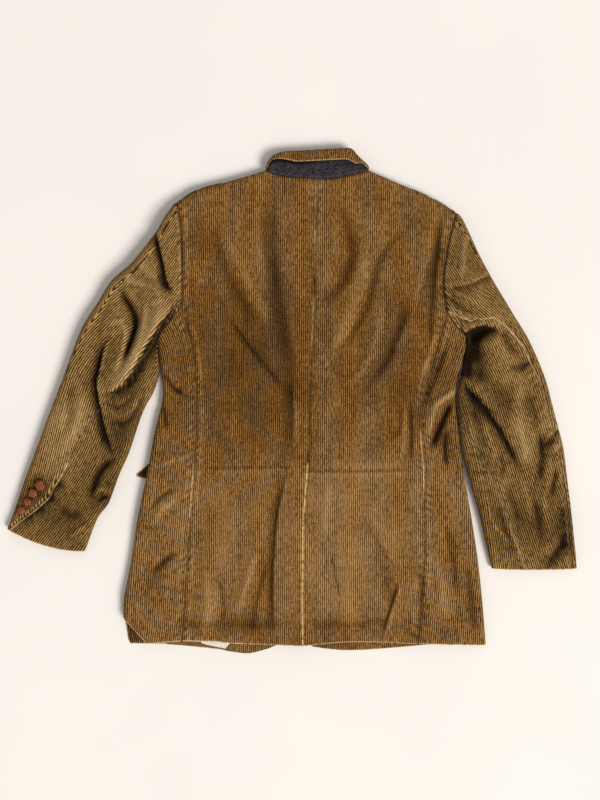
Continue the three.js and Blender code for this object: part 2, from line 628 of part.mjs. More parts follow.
/** The felt undercollar and the top collar, which runs under it, round the roll and over its edge. */
function addCollar(left, right) {
  const neckOf = (sheet) => sheet.points[0].slice(shoulderColumns);
  const neck = joined(neckOf(left), neckOf(right).reverse());
  const roll = along(outline.collarRoll, even(neck.length - 1));
  const lines = neck.map((start, i) => {
    const away = start.clone().setZ(0).sub(roll[i]);
    const share = i / (neck.length - 1);
    return { edge: roll[i], inward: away.clone().normalize(), length: away.length(), z: start.z, share };
  });
  const feltPoint = ({ edge, inward, length, z }, reach) =>
    edge.clone().addScaledVector(inward, reach).setZ(z + collarRise * (1 - reach / length));
  const radiusOf = (length) => Math.min(rollRadius, length * 0.3);
  const felt = even(3).map((t) => lines.map((line) =>
    feltPoint(line, mix(line.length, radiusOf(line.length) + 0.6, t))));
  const undercollar = new Sheet(felt, 1);
  const columns = neck.length - 1;
  const pairs = neck.map((_, i) => (i <= neckColumns
    ? [[undercollar, 0, i], [left, 0, shoulderColumns + i]]
    : [[undercollar, 0, i], [right, 0, shoulderColumns + columns - i]]));
  joinSeam(pairs);
  addCloth('undercollar', undercollar, 'felt', feltWall);

  const rise = (wall + feltWall) / 2 + layerGap + 0.2;
  const section = (line) => {
    const radius = radiusOf(line.length);
    const width = widthAt(stripWidths, line.share);
    const start = line.length - 0.9;
    return [
      [start, -1], [mix(start, radius, 0.5), -1], [radius, -1], [radius * 0.5, -0.87], [0, 0],
      [radius * 0.5, 0.87], [radius, 1], [mix(radius, width, 0.5), 1.4], [width, 1.2],
    ].map(([reach, side]) => {
      const p = feltPoint(line, reach);
      p.z += side * rise;
      return p;
    });
  };
  const sections = lines.map(section);
  const top = sections[0].map((_, k) => sections.map((points) => points[k]));
  addCloth('top_collar', new Sheet(top, -1), 'back');
}

const halves = { left: buildHalf('left'), right: buildHalf('right') };
const [leftBack, rightBack] = [halves.left.back, halves.right.back];

const lastColumn = shoulderColumns + neckColumns;
joinSeam(leftBack.points.map((_, j) => [[leftBack, j, lastColumn], [rightBack, j, lastColumn]]));
addCollar(leftBack, rightBack);
addCloth('back_left', leftBack, 'back');
addCloth('back_right', rightBack, 'back');
addVentUnderlay(leftBack, rightBack, lastColumn);
addHemInside(halves.left.front);

['left', 'right'].forEach((side) => {
  addLapel(side);
  addFlap(side);
  cuffButtons[side].forEach(({ x, y, radius }, i) => {
    const { point, normal } = surfaceAt(halves[side].sleeve, x, y, side === 'left');
    const axis = side === 'left' ? normal : at(0, 0, -1);
    const slope = Math.sqrt(Math.max(0, 1 - normal.dot(axis) ** 2)) / normal.dot(axis);
    const clear = wall / 2 / normal.dot(axis) + radius * cuffProfile[2].reach * slope + layerGap;
    const foot = point.addScaledVector(axis, clear);
    addButton(`cuff_button_${side}_${i + 1}`, cuffProfile, radius, foot, axis);
  });
});
frontButtons.forEach(({ x, y }, i) => {
  addButton(`front_button_${i + 1}`, discProfile, frontButtonRadius, at(x, y, 0.05), at(0, 0, 1));
});

export default jacket;
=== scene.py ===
"""Visual model of a corduroy jacket laid flat with its back up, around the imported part.

Blender works in metres, the tables below in millimetres. +Z is up, +Y towards the collar and the
wearer's left towards -X. The cloth is built from the same outlines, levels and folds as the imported
solids, on a finer grid and with the small folds, seams, wales and wear of the real one.
"""

import logging
import math
from dataclasses import dataclass, field
from enum import Enum
from typing import Iterable, Sequence

import bpy
import numpy as np
from mathutils import Matrix, Vector


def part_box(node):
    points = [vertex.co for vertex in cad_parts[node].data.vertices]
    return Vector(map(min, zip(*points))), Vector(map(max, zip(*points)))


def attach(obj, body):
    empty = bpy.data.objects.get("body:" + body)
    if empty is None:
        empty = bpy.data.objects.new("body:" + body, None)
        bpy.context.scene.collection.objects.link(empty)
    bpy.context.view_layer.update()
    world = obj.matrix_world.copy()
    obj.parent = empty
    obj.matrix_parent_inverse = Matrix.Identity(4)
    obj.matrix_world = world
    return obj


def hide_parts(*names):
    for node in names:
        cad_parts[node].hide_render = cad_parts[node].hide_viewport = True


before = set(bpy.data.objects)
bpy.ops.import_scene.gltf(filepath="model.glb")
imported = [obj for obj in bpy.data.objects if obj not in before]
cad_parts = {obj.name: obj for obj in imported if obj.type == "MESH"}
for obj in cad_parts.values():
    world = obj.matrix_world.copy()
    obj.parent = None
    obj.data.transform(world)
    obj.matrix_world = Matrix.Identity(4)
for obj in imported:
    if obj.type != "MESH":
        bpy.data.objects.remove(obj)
LOG = logging.getLogger("jacket")

MM = 0.001
IMAGE_WIDTH = 600
IMAGE_HEIGHT = 800
PIXEL_MM = 1.63
IMAGE_CENTRE_MM = (13.04, 1.63)

WALL = 2.0
LAYER_GAP = 0.4
THIN_WALL = 1.2
FELT_WALL = 1.6
BACK_HEIGHT = 17.0
PAD_HEIGHT = 7.0
FRONT_ON_FLOOR = WALL / 2
FRONT_ON_LAPEL = WALL + LAYER_GAP + WALL / 2
OVERLAP_LIFT = WALL + 0.9
SHOULDER_GAP = 0.2
LIFT_START = -240.0
LIFT_END = -205.0
HEM_RISE = 44.0
COLLAR_RISE = 1.5
ROLL_RADIUS = 3.2
WALE_PITCH = 3.4
STEP_CORE = 1.7
NECK_Y = 361.0
HEM_Y = -398.0
SIDE_HEM_Y = -397.0
FACES_UP = 0.2


class Side(Enum):
    """The wearer's side of the jacket; left lies towards -X because the back is up."""

    LEFT = "left"
    RIGHT = "right"


class Edge(Enum):
    """The four edges of a panel's grid."""

    START = "start"
    END = "end"
    FIRST = "first"
    LAST = "last"


@dataclass(frozen=True)
class Fold:
    """A soft ridge (height above 0), trough or lapped step of the cloth, along a path in plan."""

    left_height: float
    right_height: float
    left_width: float
    right_width: float
    path: tuple


def folds_of(rows: Sequence) -> list[Fold]:
    """Names the columns of a fold table.

    Args:
        rows: Rows of height, left width, right width and path, or with a height for each hand.

    Returns:
        One fold for each row.
    """
    return [Fold(row[0], *row) if len(row) == 4 else Fold(*row) for row in rows]


LEVEL_COLUMNS = ("y", "left_edge", "left_seam", "centre", "right_seam", "right_edge")
LEVELS = np.array([
    (361, -224, -181, 40, 252, 290),
    (152, -223, -181, 35, 252, 290),
    (103, -220, -166, 33, 241, 287),
    (59, -214, -159, 31, 228, 275),
    (10, -209, -156, 29, 214, 266),
    (-47, -222, -156, 28, 209, 270),
    (-112, -234, -160, 25, 214, 278),
    (-194, -251, -166, 19, 214, 292),
    (-259, -261, -171, 18, 214, 302),
    (-324, -272, -175, 17, 209, 309),
    (-398, -274, -179, 18, 204, 315),
], float)

ARMHOLE = {
    Side.LEFT: [(-186, 323), (-180, 285), (-178, 246), (-178, 181), (-181, 152)],
    Side.RIGHT: [(266, 306), (254, 261), (247, 215), (246, 180), (252, 143)],
}
UNDERARM = {
    Side.LEFT: [(-181, 152), (-199, 129), (-220, 104)],
    Side.RIGHT: [(252, 143), (266, 122), (287, 103)],
}
SHOULDER = {
    Side.LEFT: [(-186, 323), (-152, 343), (-102, 357), (-71, 366), (-42, 375)],
    Side.RIGHT: [(266, 306), (226, 330), (174, 353), (124, 375)],
}
NECK = {
    Side.LEFT: [(-42, 375), (-24, 368), (13, 363), (40, 361)],
    Side.RIGHT: [(124, 375), (94, 367), (67, 362), (40, 361)],
}
HEM = {
    Side.LEFT: [(-179, -390), (-126, -391), (-93, -394), (18, -398)],
    Side.RIGHT: [(204, -395), (142, -392), (84, -392), (18, -398)],
}
FRONT_EDGE = {
    Side.LEFT: [(-42, 375), (-20, 300), (10, 100), (38, -20), (41, -200), (22, -330), (-8, -388),
                (-38, -405)],
    Side.RIGHT: [(124, 375), (90, 300), (40, 100), (2, -20), (0, -200), (10, -330), (19, -385), (34, -402)],
}
FRONT_HEM = {
    Side.LEFT: [(-204, -398), (-126, -406), (-93, -411), (-70, -412.8), (-38, -405)],
    Side.RIGHT: [(240, -398), (156, -405), (113, -408), (78, -408), (34, -402)],
}
COLLAR_ROLL = [(-42, 380), (-33, 396), (-15, 404), (20, 405.5), (67, 408.5), (95, 409), (106, 398),
               (125, 380)]
STRIP_WIDTHS = [(0, 3.0), (0.1, 5.5), (0.2, 12), (0.3, 17), (0.8, 18.5), (0.86, 14), (0.92, 5), (1, 3.4)]
LAPEL_WIDTHS = [(0, 24), (0.12, 74), (0.2, 90), (0.26, 80), (0.6, 52), (1, 8)]
LAPEL_END = {Side.LEFT: 0.5, Side.RIGHT: 0.36}
FLAPS = {
    Side.LEFT: [(-213, -82), (-258, -124), (-105, -152), (-90, -92)],
    Side.RIGHT: [(255, -85), (262, -128), (112, -142), (104, -90)],
}
VENT_TOP = -100.0
SEAM_WEAR_SPAN = {Side.LEFT: (-95, -215), Side.RIGHT: (-35, -165)}
LEAST_WEAR = 0.08
CENTRE_WEAR_SPOTS = ((335, 22), (275, 24), (150, 22), (100, 18))
SHOULDER_PADS = ((-160, 300), (235, 285))
PAD_SIZE = 75
# Body patches (x, y, size, strength) and bands (from y, to y, strength): above 0 the nap is rubbed lighter by
# wear, below 0 it is darkened as painted shade.
BODY_PATCHES = [(100, -250, 110, 0.3), (120, -80, 60, 0.2), (-80, 20, 70, -0.28), (-150, 250, 40, -0.2),
                (180, 20, 50, -0.2), (-80, 105, 70, -0.3)]
BODY_BANDS = [(-60, -150, 0.3), (160, 230, 0.15), (-335, -365, -0.2)]

BODY_FOLDS = folds_of([
    (-2.6, 13, 15, [(-28, 298), (-26, 143), (-15, 91), (-2, 26), (-2, -64)]),
    (-2.4, 10, 12, [(-15, -129), (-28, -199), (-33, -315), (-34, -390)]),
    (-1.8, 9, 9, [(-108, 137), (-82, 106), (-55, 75), (-2, 0)]),
    (3.2, 14, 12, [(122, 253), (101, 194), (91, 130), (65, 85)]),
    (-2.6, 11, 12, [(210, 194), (179, 130), (158, 83), (132, 39)]),
    (-2.2, 12, 12, [(236, 300), (233, 236), (225, 181)]),
    (2.2, 9, 9, [(35, -104), (112, -104), (197, -102)]),
    (3.4, 12, 5, [(-212, 44), (-196, 28), (-179, 21)]),
    (3.4, 5, 12, [(264, 22), (250, 8), (235, -1)]),
    (3, 10, 10, [(-183, -145), (-231, -178)]),
    (-2.4, 10, 10, [(-199, -243), (-240, -308)]),
    (-2.4, 12, 12, [(135, -227), (168, -341)]),
    (2.6, 16, 16, [(-110, -200), (-125, -300), (-150, -380)]),
    (2.4, 16, 16, [(80, -230), (95, -380)]),
])
SMALL_BODY_FOLDS = folds_of([
    (-3.0, 6, 14, [(-28, 360), (-33, 267), (-24, 186), (-8, 104), (2, 39)]),
    (1.8, 9, 8, [(116, 267), (122, 214), (99, 160), (73, 104), (57, 55)]),
    (-3.8, 8, 8, [(78, 323), (99, 241), (78, 186), (41, 153)]),
    (-3.6, 6, 6, [(187, 279), (148, 241), (127, 170), (111, 132), (73, 72)]),
    (-3.6, 6, 7, [(197, 160), (171, 104), (160, 72), (122, 23)]),
    (3.0, 5, 6, [(230, 306), (220, 241), (200, 171), (184, 116), (156, 47)]),
    (2.6, 5, 5, [(150, 181), (140, 116), (114, 47), (86, 26)]),
    (-4.0, 4, 5, [(241, 295), (231, 197), (225, 132), (225, 83)]),
    (-2.8, 3, 4, [(192, -3), (194, -55), (192, -101)]),
    (2.2, 4, 4, [(183, -3), (181, -64), (174, -101)]),
    (-7.0, 5, 5, [(261, 2), (241, -42), (225, -80)]),
    (-5.0, 4, 4, [(251, -44), (248, -72), (251, -108)]),
    (5.5, 4, 5, [(274, 23), (251, 8), (230, -10), (220, -59)]),
    (-4.5, 5, 5, [(248, 91), (241, 62), (225, 26), (217, -7)]),
    (3.5, 4, 4, [(235, 116), (225, 83), (210, 42)]),
    (-1.8, 3, 3, [(62, -238), (68, -275), (78, -324)]),
    (-1.6, 4, 4, [(116, -189), (137, -227), (160, -264)]),
    (2.4, 6, 6, [(62, -121), (55, -170), (49, -227)]),
    (2.6, 5, 6, [(-57, -238), (-73, -292), (-90, -346)]),
    (-2.2, 5, 6, [(-39, -259), (-55, -308), (-68, -383)]),
    (-3.4, 4, 5, [(-231, -178), (-215, -158), (-192, -142)]),
    (-3.4, 4, 5, [(-231, -280), (-210, -262), (-186, -243)]),
    (2.6, 4, 4, [(-228, -200), (-209, -174), (-186, -158)]),
    (-3.4, 3, 4, [(-106, 137), (-88, 116), (-68, 88), (-15, 23)]),
    (-2.8, 8, 8, [(-134, 284), (-101, 197), (-52, 116)]),
    (2.8, 7, 7, [(-114, 279), (-73, 197), (-31, 116)]),
    (2.2, 7, 7, [(-60, 328), (-55, 246), (-39, 165)]),
    (-3.2, 4, 4, [(-176, 165), (-170, 132), (-173, 103)]),
    (-5.5, 4, 4, [(-209, 47), (-194, 24), (-176, 10)]),
    (-4.5, 3, 4, [(-210, -5), (-207, -21), (-204, -44)]),
    (2.2, 5, 4, [(-231, -108), (-199, -98), (-161, -85)]),
    (-1.4, 9, 8, [(18, -360), (86, -363), (152, -357)]),
    (-1.4, 9, 8, [(-199, -357), (-156, -360), (-85, -363), (10, -360)]),
    (3.0, 3, 3, [(277, -124), (284, -142), (285, -163)]),
    (-2.0, 6, 6, [(200, -259), (212, -308), (215, -373)]),
    (2.2, 6, 6, [(228, -235), (241, -292), (251, -365)]),
    (-2.6, 6, 6, [(251, -194), (261, -259), (271, -324)]),
    (-2.8, 6, 6, [(284, -259), (290, -324), (297, -380)]),
    (1.8, 6, 6, [(-142, -259), (-137, -324), (-140, -373)]),
    (-1.8, 5, 5, [(-121, -284), (-111, -324), (-114, -365)]),
    (2.0, 5, 6, [(29, 116), (49, 83), (62, 34)]),
    (1.6, 4, 4, [(49, 328), (42, 262), (33, 197)]),
    (-1.8, 5, 5, [(163, -64), (176, -39), (173, -7)]),
    (1.9, -2.2, 5, 16, [(0, 39), (3, -18), (2, -75)]),
    (1.7, -3.2, 6, 9, [(-5, -106), (-15, -145), (-24, -194), (-31, -303), (-28, -385)]),
    (-1.7, 1.9, 6, 6, [(8, -111), (29, -115), (111, -116), (196, -114)]),
    (2.6, -3.2, 5, 7, [(176, -292), (168, -319), (158, -349), (148, -383)]),
    (-1.2, 1.2, 5, 6, [(-156, -112), (-101, -111), (7, -108)]),
])


@dataclass(frozen=True)
class SleeveTable:
    """Where a sleeve lies: rows of outer x, outer y, inner x, inner y, top, hind and fore shares."""

    rows: np.ndarray
    folds: list
    small_folds: list
    lift: list
    hem_drops: tuple
    hind_wear: list
    fore_wear: list
    patches: list
    top_wales: list
    under_wales: list


SLEEVES = {
    Side.LEFT: SleeveTable(
        rows=np.array([
            (-186, 323, -220, 104, 26, 0.80, 1.25),
            (-192, 317, -227, 101, 28, 0.80, 1.25),
            (-205, 300, -222, 88, 31, 0.82, 1.25),
            (-220, 274, -218.5, 70, 31, 0.82, 1.25),
            (-259, 225, -217.5, 42, 28, 0.76, 1.25),
            (-292, 196, -226, 15, 26, 0.72, 1.25),
            (-315, 160, -238.5, -7, 25, 0.71, 1.25),
            (-342, 116, -248, -29, 24, 0.66, 1.25),
            (-370, 42, -266, -83, 23, 0.50, 1.25),
            (-394, -20, -282, -119, 21, 0.42, 1.25),
            (-417, -82, -300, -166, 19, 0.40, 1.25),
            (-437, -135, -319, -192, 17, 0.36, 1.25),
            (-463, -202, -339, -242, 14, 0.03, 1.25),
        ], float),
        folds=folds_of([
            (7.5, 6, 22, [(-183, 152), (-205, 139), (-222, 108), (-238, 78), (-261, 42), (-279, 16),
                          (-306, 6)]),
            (-5, 8, 8, [(-284, 112), (-300, 80), (-308, 51), (-313, 20)]),
            (-5, 11, 11, [(-220, 274), (-209, 227), (-196, 171)]),
            (5, 10, 10, [(-282, 202), (-256, 192), (-231, 181), (-205, 165)]),
            (-5, 8, 8, [(-256, 150), (-251, 130), (-253, 114), (-275, 62)]),
            (-3.5, 8, 8, [(-311, 11), (-305, -21), (-295, -60), (-272, -93)]),
            (3, 8, 8, [(-357, -224), (-328, -205)]),
            (-3, 7, 7, [(-320, -145), (-293, -170)]),
        ]),
        small_folds=folds_of([
            (-7.5, 5, 6, [(-279, 191), (-271, 168), (-258, 147), (-253, 124), (-262, 91), (-275, 59)]),
            (5.0, 4, 4, [(-303, 119), (-282, 132), (-269, 114), (-274, 83), (-289, 44)]),
            (3.0, 5, 5, [(-235, 178), (-238, 135), (-251, 91), (-271, 47)]),
            (-2.8, 3, 3, [(-302, 2), (-284, -11), (-266, -2), (-254, 20)]),
            (2.4, 3, 3, [(-300, -11), (-280, -24), (-259, -11), (-246, 11)]),
            (-2.6, 4, 4, [(-293, -31), (-271, -37), (-249, -11), (-238, 15)]),
            (-5.5, 6, 7, [(-285, -90), (-305, -108), (-318, -129), (-326, -165)]),
            (3.8, 3.5, 3.5, [(-324, -156), (-313, -142), (-298, -147)]),
            (-3.5, 3, 3, [(-316, -166), (-306, -156), (-295, -156)]),
            (3.2, 3, 3, [(-362, -222), (-346, -209), (-328, -196)]),
            (-3.0, 8, 8, [(-378, -171), (-359, -186), (-339, -181)]),
            (2.5, 9, 9, [(-381, -15), (-368, -47), (-375, -90)]),
            (2.8, 7, 7, [(-339, 15), (-346, -24), (-362, -73)]),
            (-2.6, 6, 6, [(-359, 34), (-359, -15), (-372, -64)]),
            (3.4, 7, 6, [(-248, 227), (-235, 210), (-218, 197)]),
            (-2.2, 5, 5, [(-261, 227), (-251, 246), (-235, 262)]),
            (-2.4, 4, 4, [(-199, 178), (-212, 191), (-218, 210)]),
            (2.2, 4, 4, [(-205, 165), (-218, 161), (-231, 155)]),
            (-1.8, 5, 5, [(-293, 165), (-306, 135), (-316, 99)]),
            (2.5, -8.0, 10, 8, [(-220, 279), (-214, 249), (-207, 220), (-202, 194), (-189, 170)]),
            (3.5, -7.5, 9, 12, [(-292, 112), (-305, 83), (-311, 54), (-316, 34), (-313, 7), (-302, -47),
                                (-285, -95)]),
            (-12.0, 5.5, 13, 20, [(-186, 163), (-207, 135), (-238, 86), (-264, 41), (-279, 23), (-293, 15),
                                  (-310, 16)]),
            (1.5, -1.8, 8, 7, [(-280, 197), (-249, 187), (-227, 181), (-209, 171)]),
            (-5.0, 4.0, 8, 5, [(-372, -109), (-383, -127), (-399, -156), (-424, -178), (-443, -192),
                               (-463, -209)]),
        ]),
        lift=[],
        hem_drops=(7, 9, 3),
        hind_wear=[(-240, 0.9), (-130, 0.9), (-105, 0.75), (-85, 0.12), (400, 0.06)],
        fore_wear=[(-240, 0.2), (400, 0.2)],
        # Patches: x, y, size and strength. Above 0 the nap is lighter; below 0 it is painted shade in the
        # hollows of the folds and under the cuff's lip.
        patches=[(-362, -35, 45, 0.85), (-385, -95, 30, 0.4), (-290, 165, 60, 0.3), (-235, 240, 40, 0.25),
                 (-300, -140, 40, -0.5), (-375, -190, 45, -0.65), (-278, -45, 36, -0.9), (-345, 90, 40, 0.2),
                 (-377, -136, 8, -1.2), (-391, -158, 8, -1.2), (-409, -176, 8, -1.2), (-428, -191, 8, -1.0)],
        top_wales=[(0, 53), (100, 46), (150, 44), (225, 52), (330, 73), (400, 76), (620, 74)],
        under_wales=[(0, 60), (200, 60), (330, 79), (400, 70), (470, 57), (540, 55), (620, 48)],
    ),
    Side.RIGHT: SleeveTable(
        rows=np.array([
            (266, 306, 287, 103, 26, 0.80, 1.25),
            (273, 300, 290.5, 104, 28, 0.80, 1.25),
            (280, 287, 288.5, 91, 31, 0.78, 1.25),
            (300, 243, 283, 74, 31, 0.68, 1.23),
            (323, 200, 277.5, 46, 30, 0.44, 1.20),
            (344, 165, 271, 21, 29, 0.22, 1.15),
            (362, 135, 269.5, -3, 27, 0.13, 1.08),
            (385, 98, 272, -37, 25, 0.09, 0.98),
            (411, 37, 279, -88, 23, 0.07, 0.86),
            (429, -31, 293, -140, 21, 0.06, 0.80),
            (442, -83, 305, -181, 19, 0.06, 0.76),
            (452, -170, 316, -228, 17, 0.06, 0.70),
            (463, -266, 327, -272, 15, 0.06, 0.61),
        ], float),
        folds=folds_of([
            (-6, 9, 9, [(271, 30), (306, -5), (349, -47), (375, -117)]),
            (-7, 9, 9, [(285, 99), (303, 109), (318, 119)]),
            (-9, 11, 13, [(293, 95), (302, 64), (306, 26)]),
            (5, 18, 18, [(322, 112), (345, 60), (352, 20)]),
            (-3, 8, 8, [(395, -40), (425, -95)]),
            (3, 10, 10, [(400, -245), (440, -225)]),
            (3.5, 12, 12, [(330, -110), (352, -190)]),
        ]),
        small_folds=folds_of([
            (-11.0, 9, 12, [(313, 116), (293, 99), (284, 80), (280, 54), (290, 31)]),
            (3.8, 5, 5, [(279, 275), (275, 238), (272, 192)]),
            (-3.2, 3, 4, [(248, 171), (271, 153), (297, 140)]),
            (2.6, 3, 3, [(249, 160), (267, 145), (290, 130)]),
            (2.6, 3, 3, [(253, 183), (284, 166), (316, 152)]),
            (3.0, -8.0, 5, 14, [(272, 103), (285, 114), (302, 122), (323, 121), (339, 111)]),
            (-2.6, 3, 3, [(266, 130), (284, 129), (306, 135)]),
            (-4.5, 6, 6, [(346, 57), (370, 54), (393, 72)]),
            (-3.4, 6, 6, [(337, 114), (349, 91), (362, 75)]),
            (5.5, 10, 10, [(381, 41), (362, 5), (367, -47), (377, -112)]),
            (-5.5, 6, 7, [(401, -51), (406, -88), (401, -132)]),
            (-4.5, 4, 4, [(409, -75), (422, -60), (434, -46)]),
            (4.0, 4, 4, [(419, -82), (435, -67)]),
            (-4.5, 5, 5, [(429, -106), (425, -132), (421, -158)]),
            (-4.5, 8, 9, [(414, -271), (432, -243), (448, -217)]),
            (-3.2, 5, 6, [(346, -135), (357, -161), (372, -200)]),
            (2.6, 5, 5, [(375, -126), (381, -158), (388, -194)]),
            (2.4, 5, 5, [(404, -145), (412, -186), (417, -218)]),
            (-2.4, 5, 5, [(391, -153), (401, -194), (406, -235)]),
            (2.6, 5, 5, [(347, -186), (362, -227), (375, -262)]),
            (-2.6, 5, 5, [(333, -161), (344, -202), (362, -253)]),
            (-2.6, 4, 4, [(334, -83), (341, -104), (339, -126)]),
            (2.0, 5, 5, [(306, -31), (319, -64), (329, -99)]),
            (-2.2, 5, 5, [(290, -7), (303, -39), (316, -80)]),
            (1.8, 6, 6, [(326, 279), (339, 246), (347, 205)]),
            (-2.2, 7, 7, [(306, 227), (326, 217), (347, 181)]),
            (-3.0, 5, 6, [(383, 10), (393, -18), (398, -47)]),
            (4.0, -8.5, 14, 10, [(271, 39), (293, 15), (315, -10), (334, -36), (350, -62), (362, -86),
                                 (372, -112)]),
            (2.2, -3.0, 7, 9, [(246, 181), (279, 187), (303, 197), (329, 209)]),
            (2.8, 2.6, 2.6, [(282, 10), (290, -47), (308, -129), (323, -194), (350, -227), (372, -264)]),
            (-2.6, 2.4, 2.4, [(284, -85), (298, -88), (311, -86)]),
            (-2.6, 2.4, 2.4, [(290, -112), (303, -116), (317, -113)]),
            (-2.6, 2.4, 2.4, [(297, -142), (310, -147), (324, -144)]),
        ]),
        lift=folds_of([(11, 28, 28, [(436, -145), (444, -205), (450, -275)])]),
        hem_drops=(7, 2, 1),
        hind_wear=[(-280, 0.25), (50, 0.3), (62, 0.8), (140, 0.8), (160, 0.3), (400, 0.2)],
        fore_wear=[(-280, 0.45), (-240, 0.3), (-120, 0.25), (-60, 0.08), (400, 0.1)],
        # Patches: x, y, size and strength. Above 0 the nap is lighter; below 0 it is painted shade in the
        # sleeve's pit and in the hollows under its folds.
        patches=[(284, -20, 28, -0.7), (300, -90, 30, -0.4), (320, -180, 35, -0.35), (350, 0, 34, -0.8),
                 (292, 84, 16, -1.2), (410, -40, 28, 0.6), (345, 150, 30, 0.2), (340, 215, 30, 0.2),
                 (390, -200, 45, -0.7), (440, -120, 25, 0.2)],
        top_wales=[(0, 122), (60, 133), (120, 138), (170, 132), (240, 118), (320, 104), (430, 100),
                   (620, 96)],
        under_wales=[(0, 125), (150, 120), (240, 115), (300, 109), (400, 108), (620, 109)],
    ),
}

BUTTON_SEATS = {
    Side.LEFT: [(-410, -137, 8.4), (-422, -150, 7.2), (-431, -164, 6.6), (-441, -178, 6.4)],
    Side.RIGHT: [(441, -183, 7.6), (443, -201, 7.6), (445, -219, 7.6), (447, -237, 7.6)],
}
LEFT_BUTTON_SHIFT = (2.6, 0.6, 0.2)
FRONT_BUTTONS = [(20, -40), (20, -150)]
FRONT_BUTTON_RADIUS = 10.0

CAD_ARM_SHARES = np.array([0, 0.012, 0.05, 0.11, 0.23, 0.38, 0.54, 0.7, 0.86, 1])
CAD_UPPER = 6
CAD_LOWER = 5


def smooth(low: float, high: float, value: np.ndarray) -> np.ndarray:
    """Eases from 0 at low to 1 at high."""
    t = np.clip((np.asarray(value, float) - low) / (high - low), 0, 1)
    return t * t * (3 - 2 * t)


def blend(a: np.ndarray, b: np.ndarray, share: np.ndarray) -> np.ndarray:
    """Goes straight from a to b."""
    return a + (b - a) * share


def quarter_round(ratio: np.ndarray) -> np.ndarray:
    """Height up a quarter circle, from 0 at the edge to 1 one radius in."""
    return np.sqrt(np.maximum(0, 1 - (1 - np.clip(ratio, 0, 1)) ** 2))


def unit(vectors: np.ndarray) -> np.ndarray:
    """Vectors of length 1 in the same directions."""
    return vectors / np.maximum(np.linalg.norm(vectors, axis=-1, keepdims=True), 1e-9)


def steps(count: int) -> np.ndarray:
    """Even shares from 0 to 1, count spaces apart."""
    return np.linspace(0, 1, count + 1)


def turn_at(share: np.ndarray) -> np.ndarray:
    """How far round a flattened sleeve a share of its width lies.

    Args:
        share: Shares from 0 at the outer edge to 1 at the inner one, and on to 2 above it.

    Returns:
        Turns from 0 to 1.
    """
    crossing = np.arccos(1 - 2 * np.where(share <= 1, share, 2 - share)) / (2 * math.pi)
    return np.where(share <= 1, crossing, 1 - crossing)


class SmoothLine:
    """A smooth line in plan through its points."""

    def __init__(self, points: Sequence, tension: float = 0.4) -> None:
        """Keeps the points, and one more beyond each end.

        Args:
            points: The points in plan, in mm.
            tension: How much of the chord each tangent takes.
        """
        inner = np.array(points, float)
        self.points = np.vstack([2 * inner[0] - inner[1], inner, 2 * inner[-1] - inner[-2]])
        self.tension = tension
        self.spans = len(inner) - 1
        self.marks = np.linspace(0, 1, 401)
        lengths = np.linalg.norm(np.diff(self.at(self.marks), axis=0), axis=1)
        self.passed = np.concatenate([[0], np.cumsum(lengths)])

    def at(self, share: np.ndarray) -> np.ndarray:
        """Points at shares of the line's spans.

        Args:
            share: Shares from 0 to 1.

        Returns:
            One point in plan for each share.
        """
        place = np.clip(np.asarray(share, float), 0, 1) * self.spans
        span = np.minimum(np.floor(place).astype(int), self.spans - 1)
        t = (place - span)[..., None]
        p0, p1, p2, p3 = (self.points[span + i] for i in range(4))
        m1 = self.tension * (p2 - p0)
        m2 = self.tension * (p3 - p1)
        return (p1 + m1 * t + (-3 * p1 + 3 * p2 - 2 * m1 - m2) * t ** 2
                + (2 * p1 - 2 * p2 + m1 + m2) * t ** 3)

    def along(self, share: np.ndarray) -> np.ndarray:
        """Points at shares of the line's length."""
        return self.at(np.interp(np.asarray(share, float) * self.passed[-1], self.passed, self.marks))


def read_level(column: str, y: np.ndarray) -> np.ndarray:
    """Reads one column of the level table between its rows, smoothly.

    Args:
        column: The name of the column.
        y: Levels, in mm.

    Returns:
        The column's value at each level.
    """
    value = LEVELS[:, LEVEL_COLUMNS.index(column)]
    level = LEVELS[:, 0]
    last = len(level) - 1
    y = np.asarray(y, float)
    i = np.clip(np.searchsorted(-level, -y, side="left"), 1, last)
    before, after = np.maximum(np.arange(last + 1) - 1, 0), np.minimum(np.arange(last + 1) + 1, last)
    slope = (value[after] - value[before]) / (level[after] - level[before])
    span = level[i] - level[i - 1]
    t = np.clip((y - level[i - 1]) / span, 0, 1)
    return ((2 * t ** 3 - 3 * t ** 2 + 1) * value[i - 1] + (t ** 3 - 2 * t ** 2 + t) * span * slope[i - 1]
            + (3 * t ** 2 - 2 * t ** 3) * value[i] + (t ** 3 - t ** 2) * span * slope[i])


def nearest(path: Sequence, x: np.ndarray, y: np.ndarray) -> tuple:
    """The place on a path nearest to each point.

    Args:
        path: The path's corners in plan.
        x: The points' x.
        y: The points' y.

    Returns:
        Distance, hand (+1 to the left of the path) and share of the path's length.
    """
    corners = np.array(path, float)
    spans = np.diff(corners, axis=0)
    lengths = np.linalg.norm(spans, axis=1)
    passed = np.concatenate([[0], np.cumsum(lengths)])
    distance = np.full(np.shape(x), np.inf)
    hand = np.ones(np.shape(x))
    share = np.zeros(np.shape(x))
    for start, span, length, gone in zip(corners[:-1], spans, lengths, passed):
        dx, dy = span / length
        along = np.clip((x - start[0]) * dx + (y - start[1]) * dy, 0, length)
        d = np.hypot(x - start[0] - dx * along, y - start[1] - dy * along)
        closer = d < distance
        side = np.where(dx * (y - start[1]) - dy * (x - start[0]) >= 0, 1.0, -1.0)
        distance = np.where(closer, d, distance)
        hand = np.where(closer, side, hand)
        share = np.where(closer, (gone + along) / passed[-1], share)
    return distance, hand, share


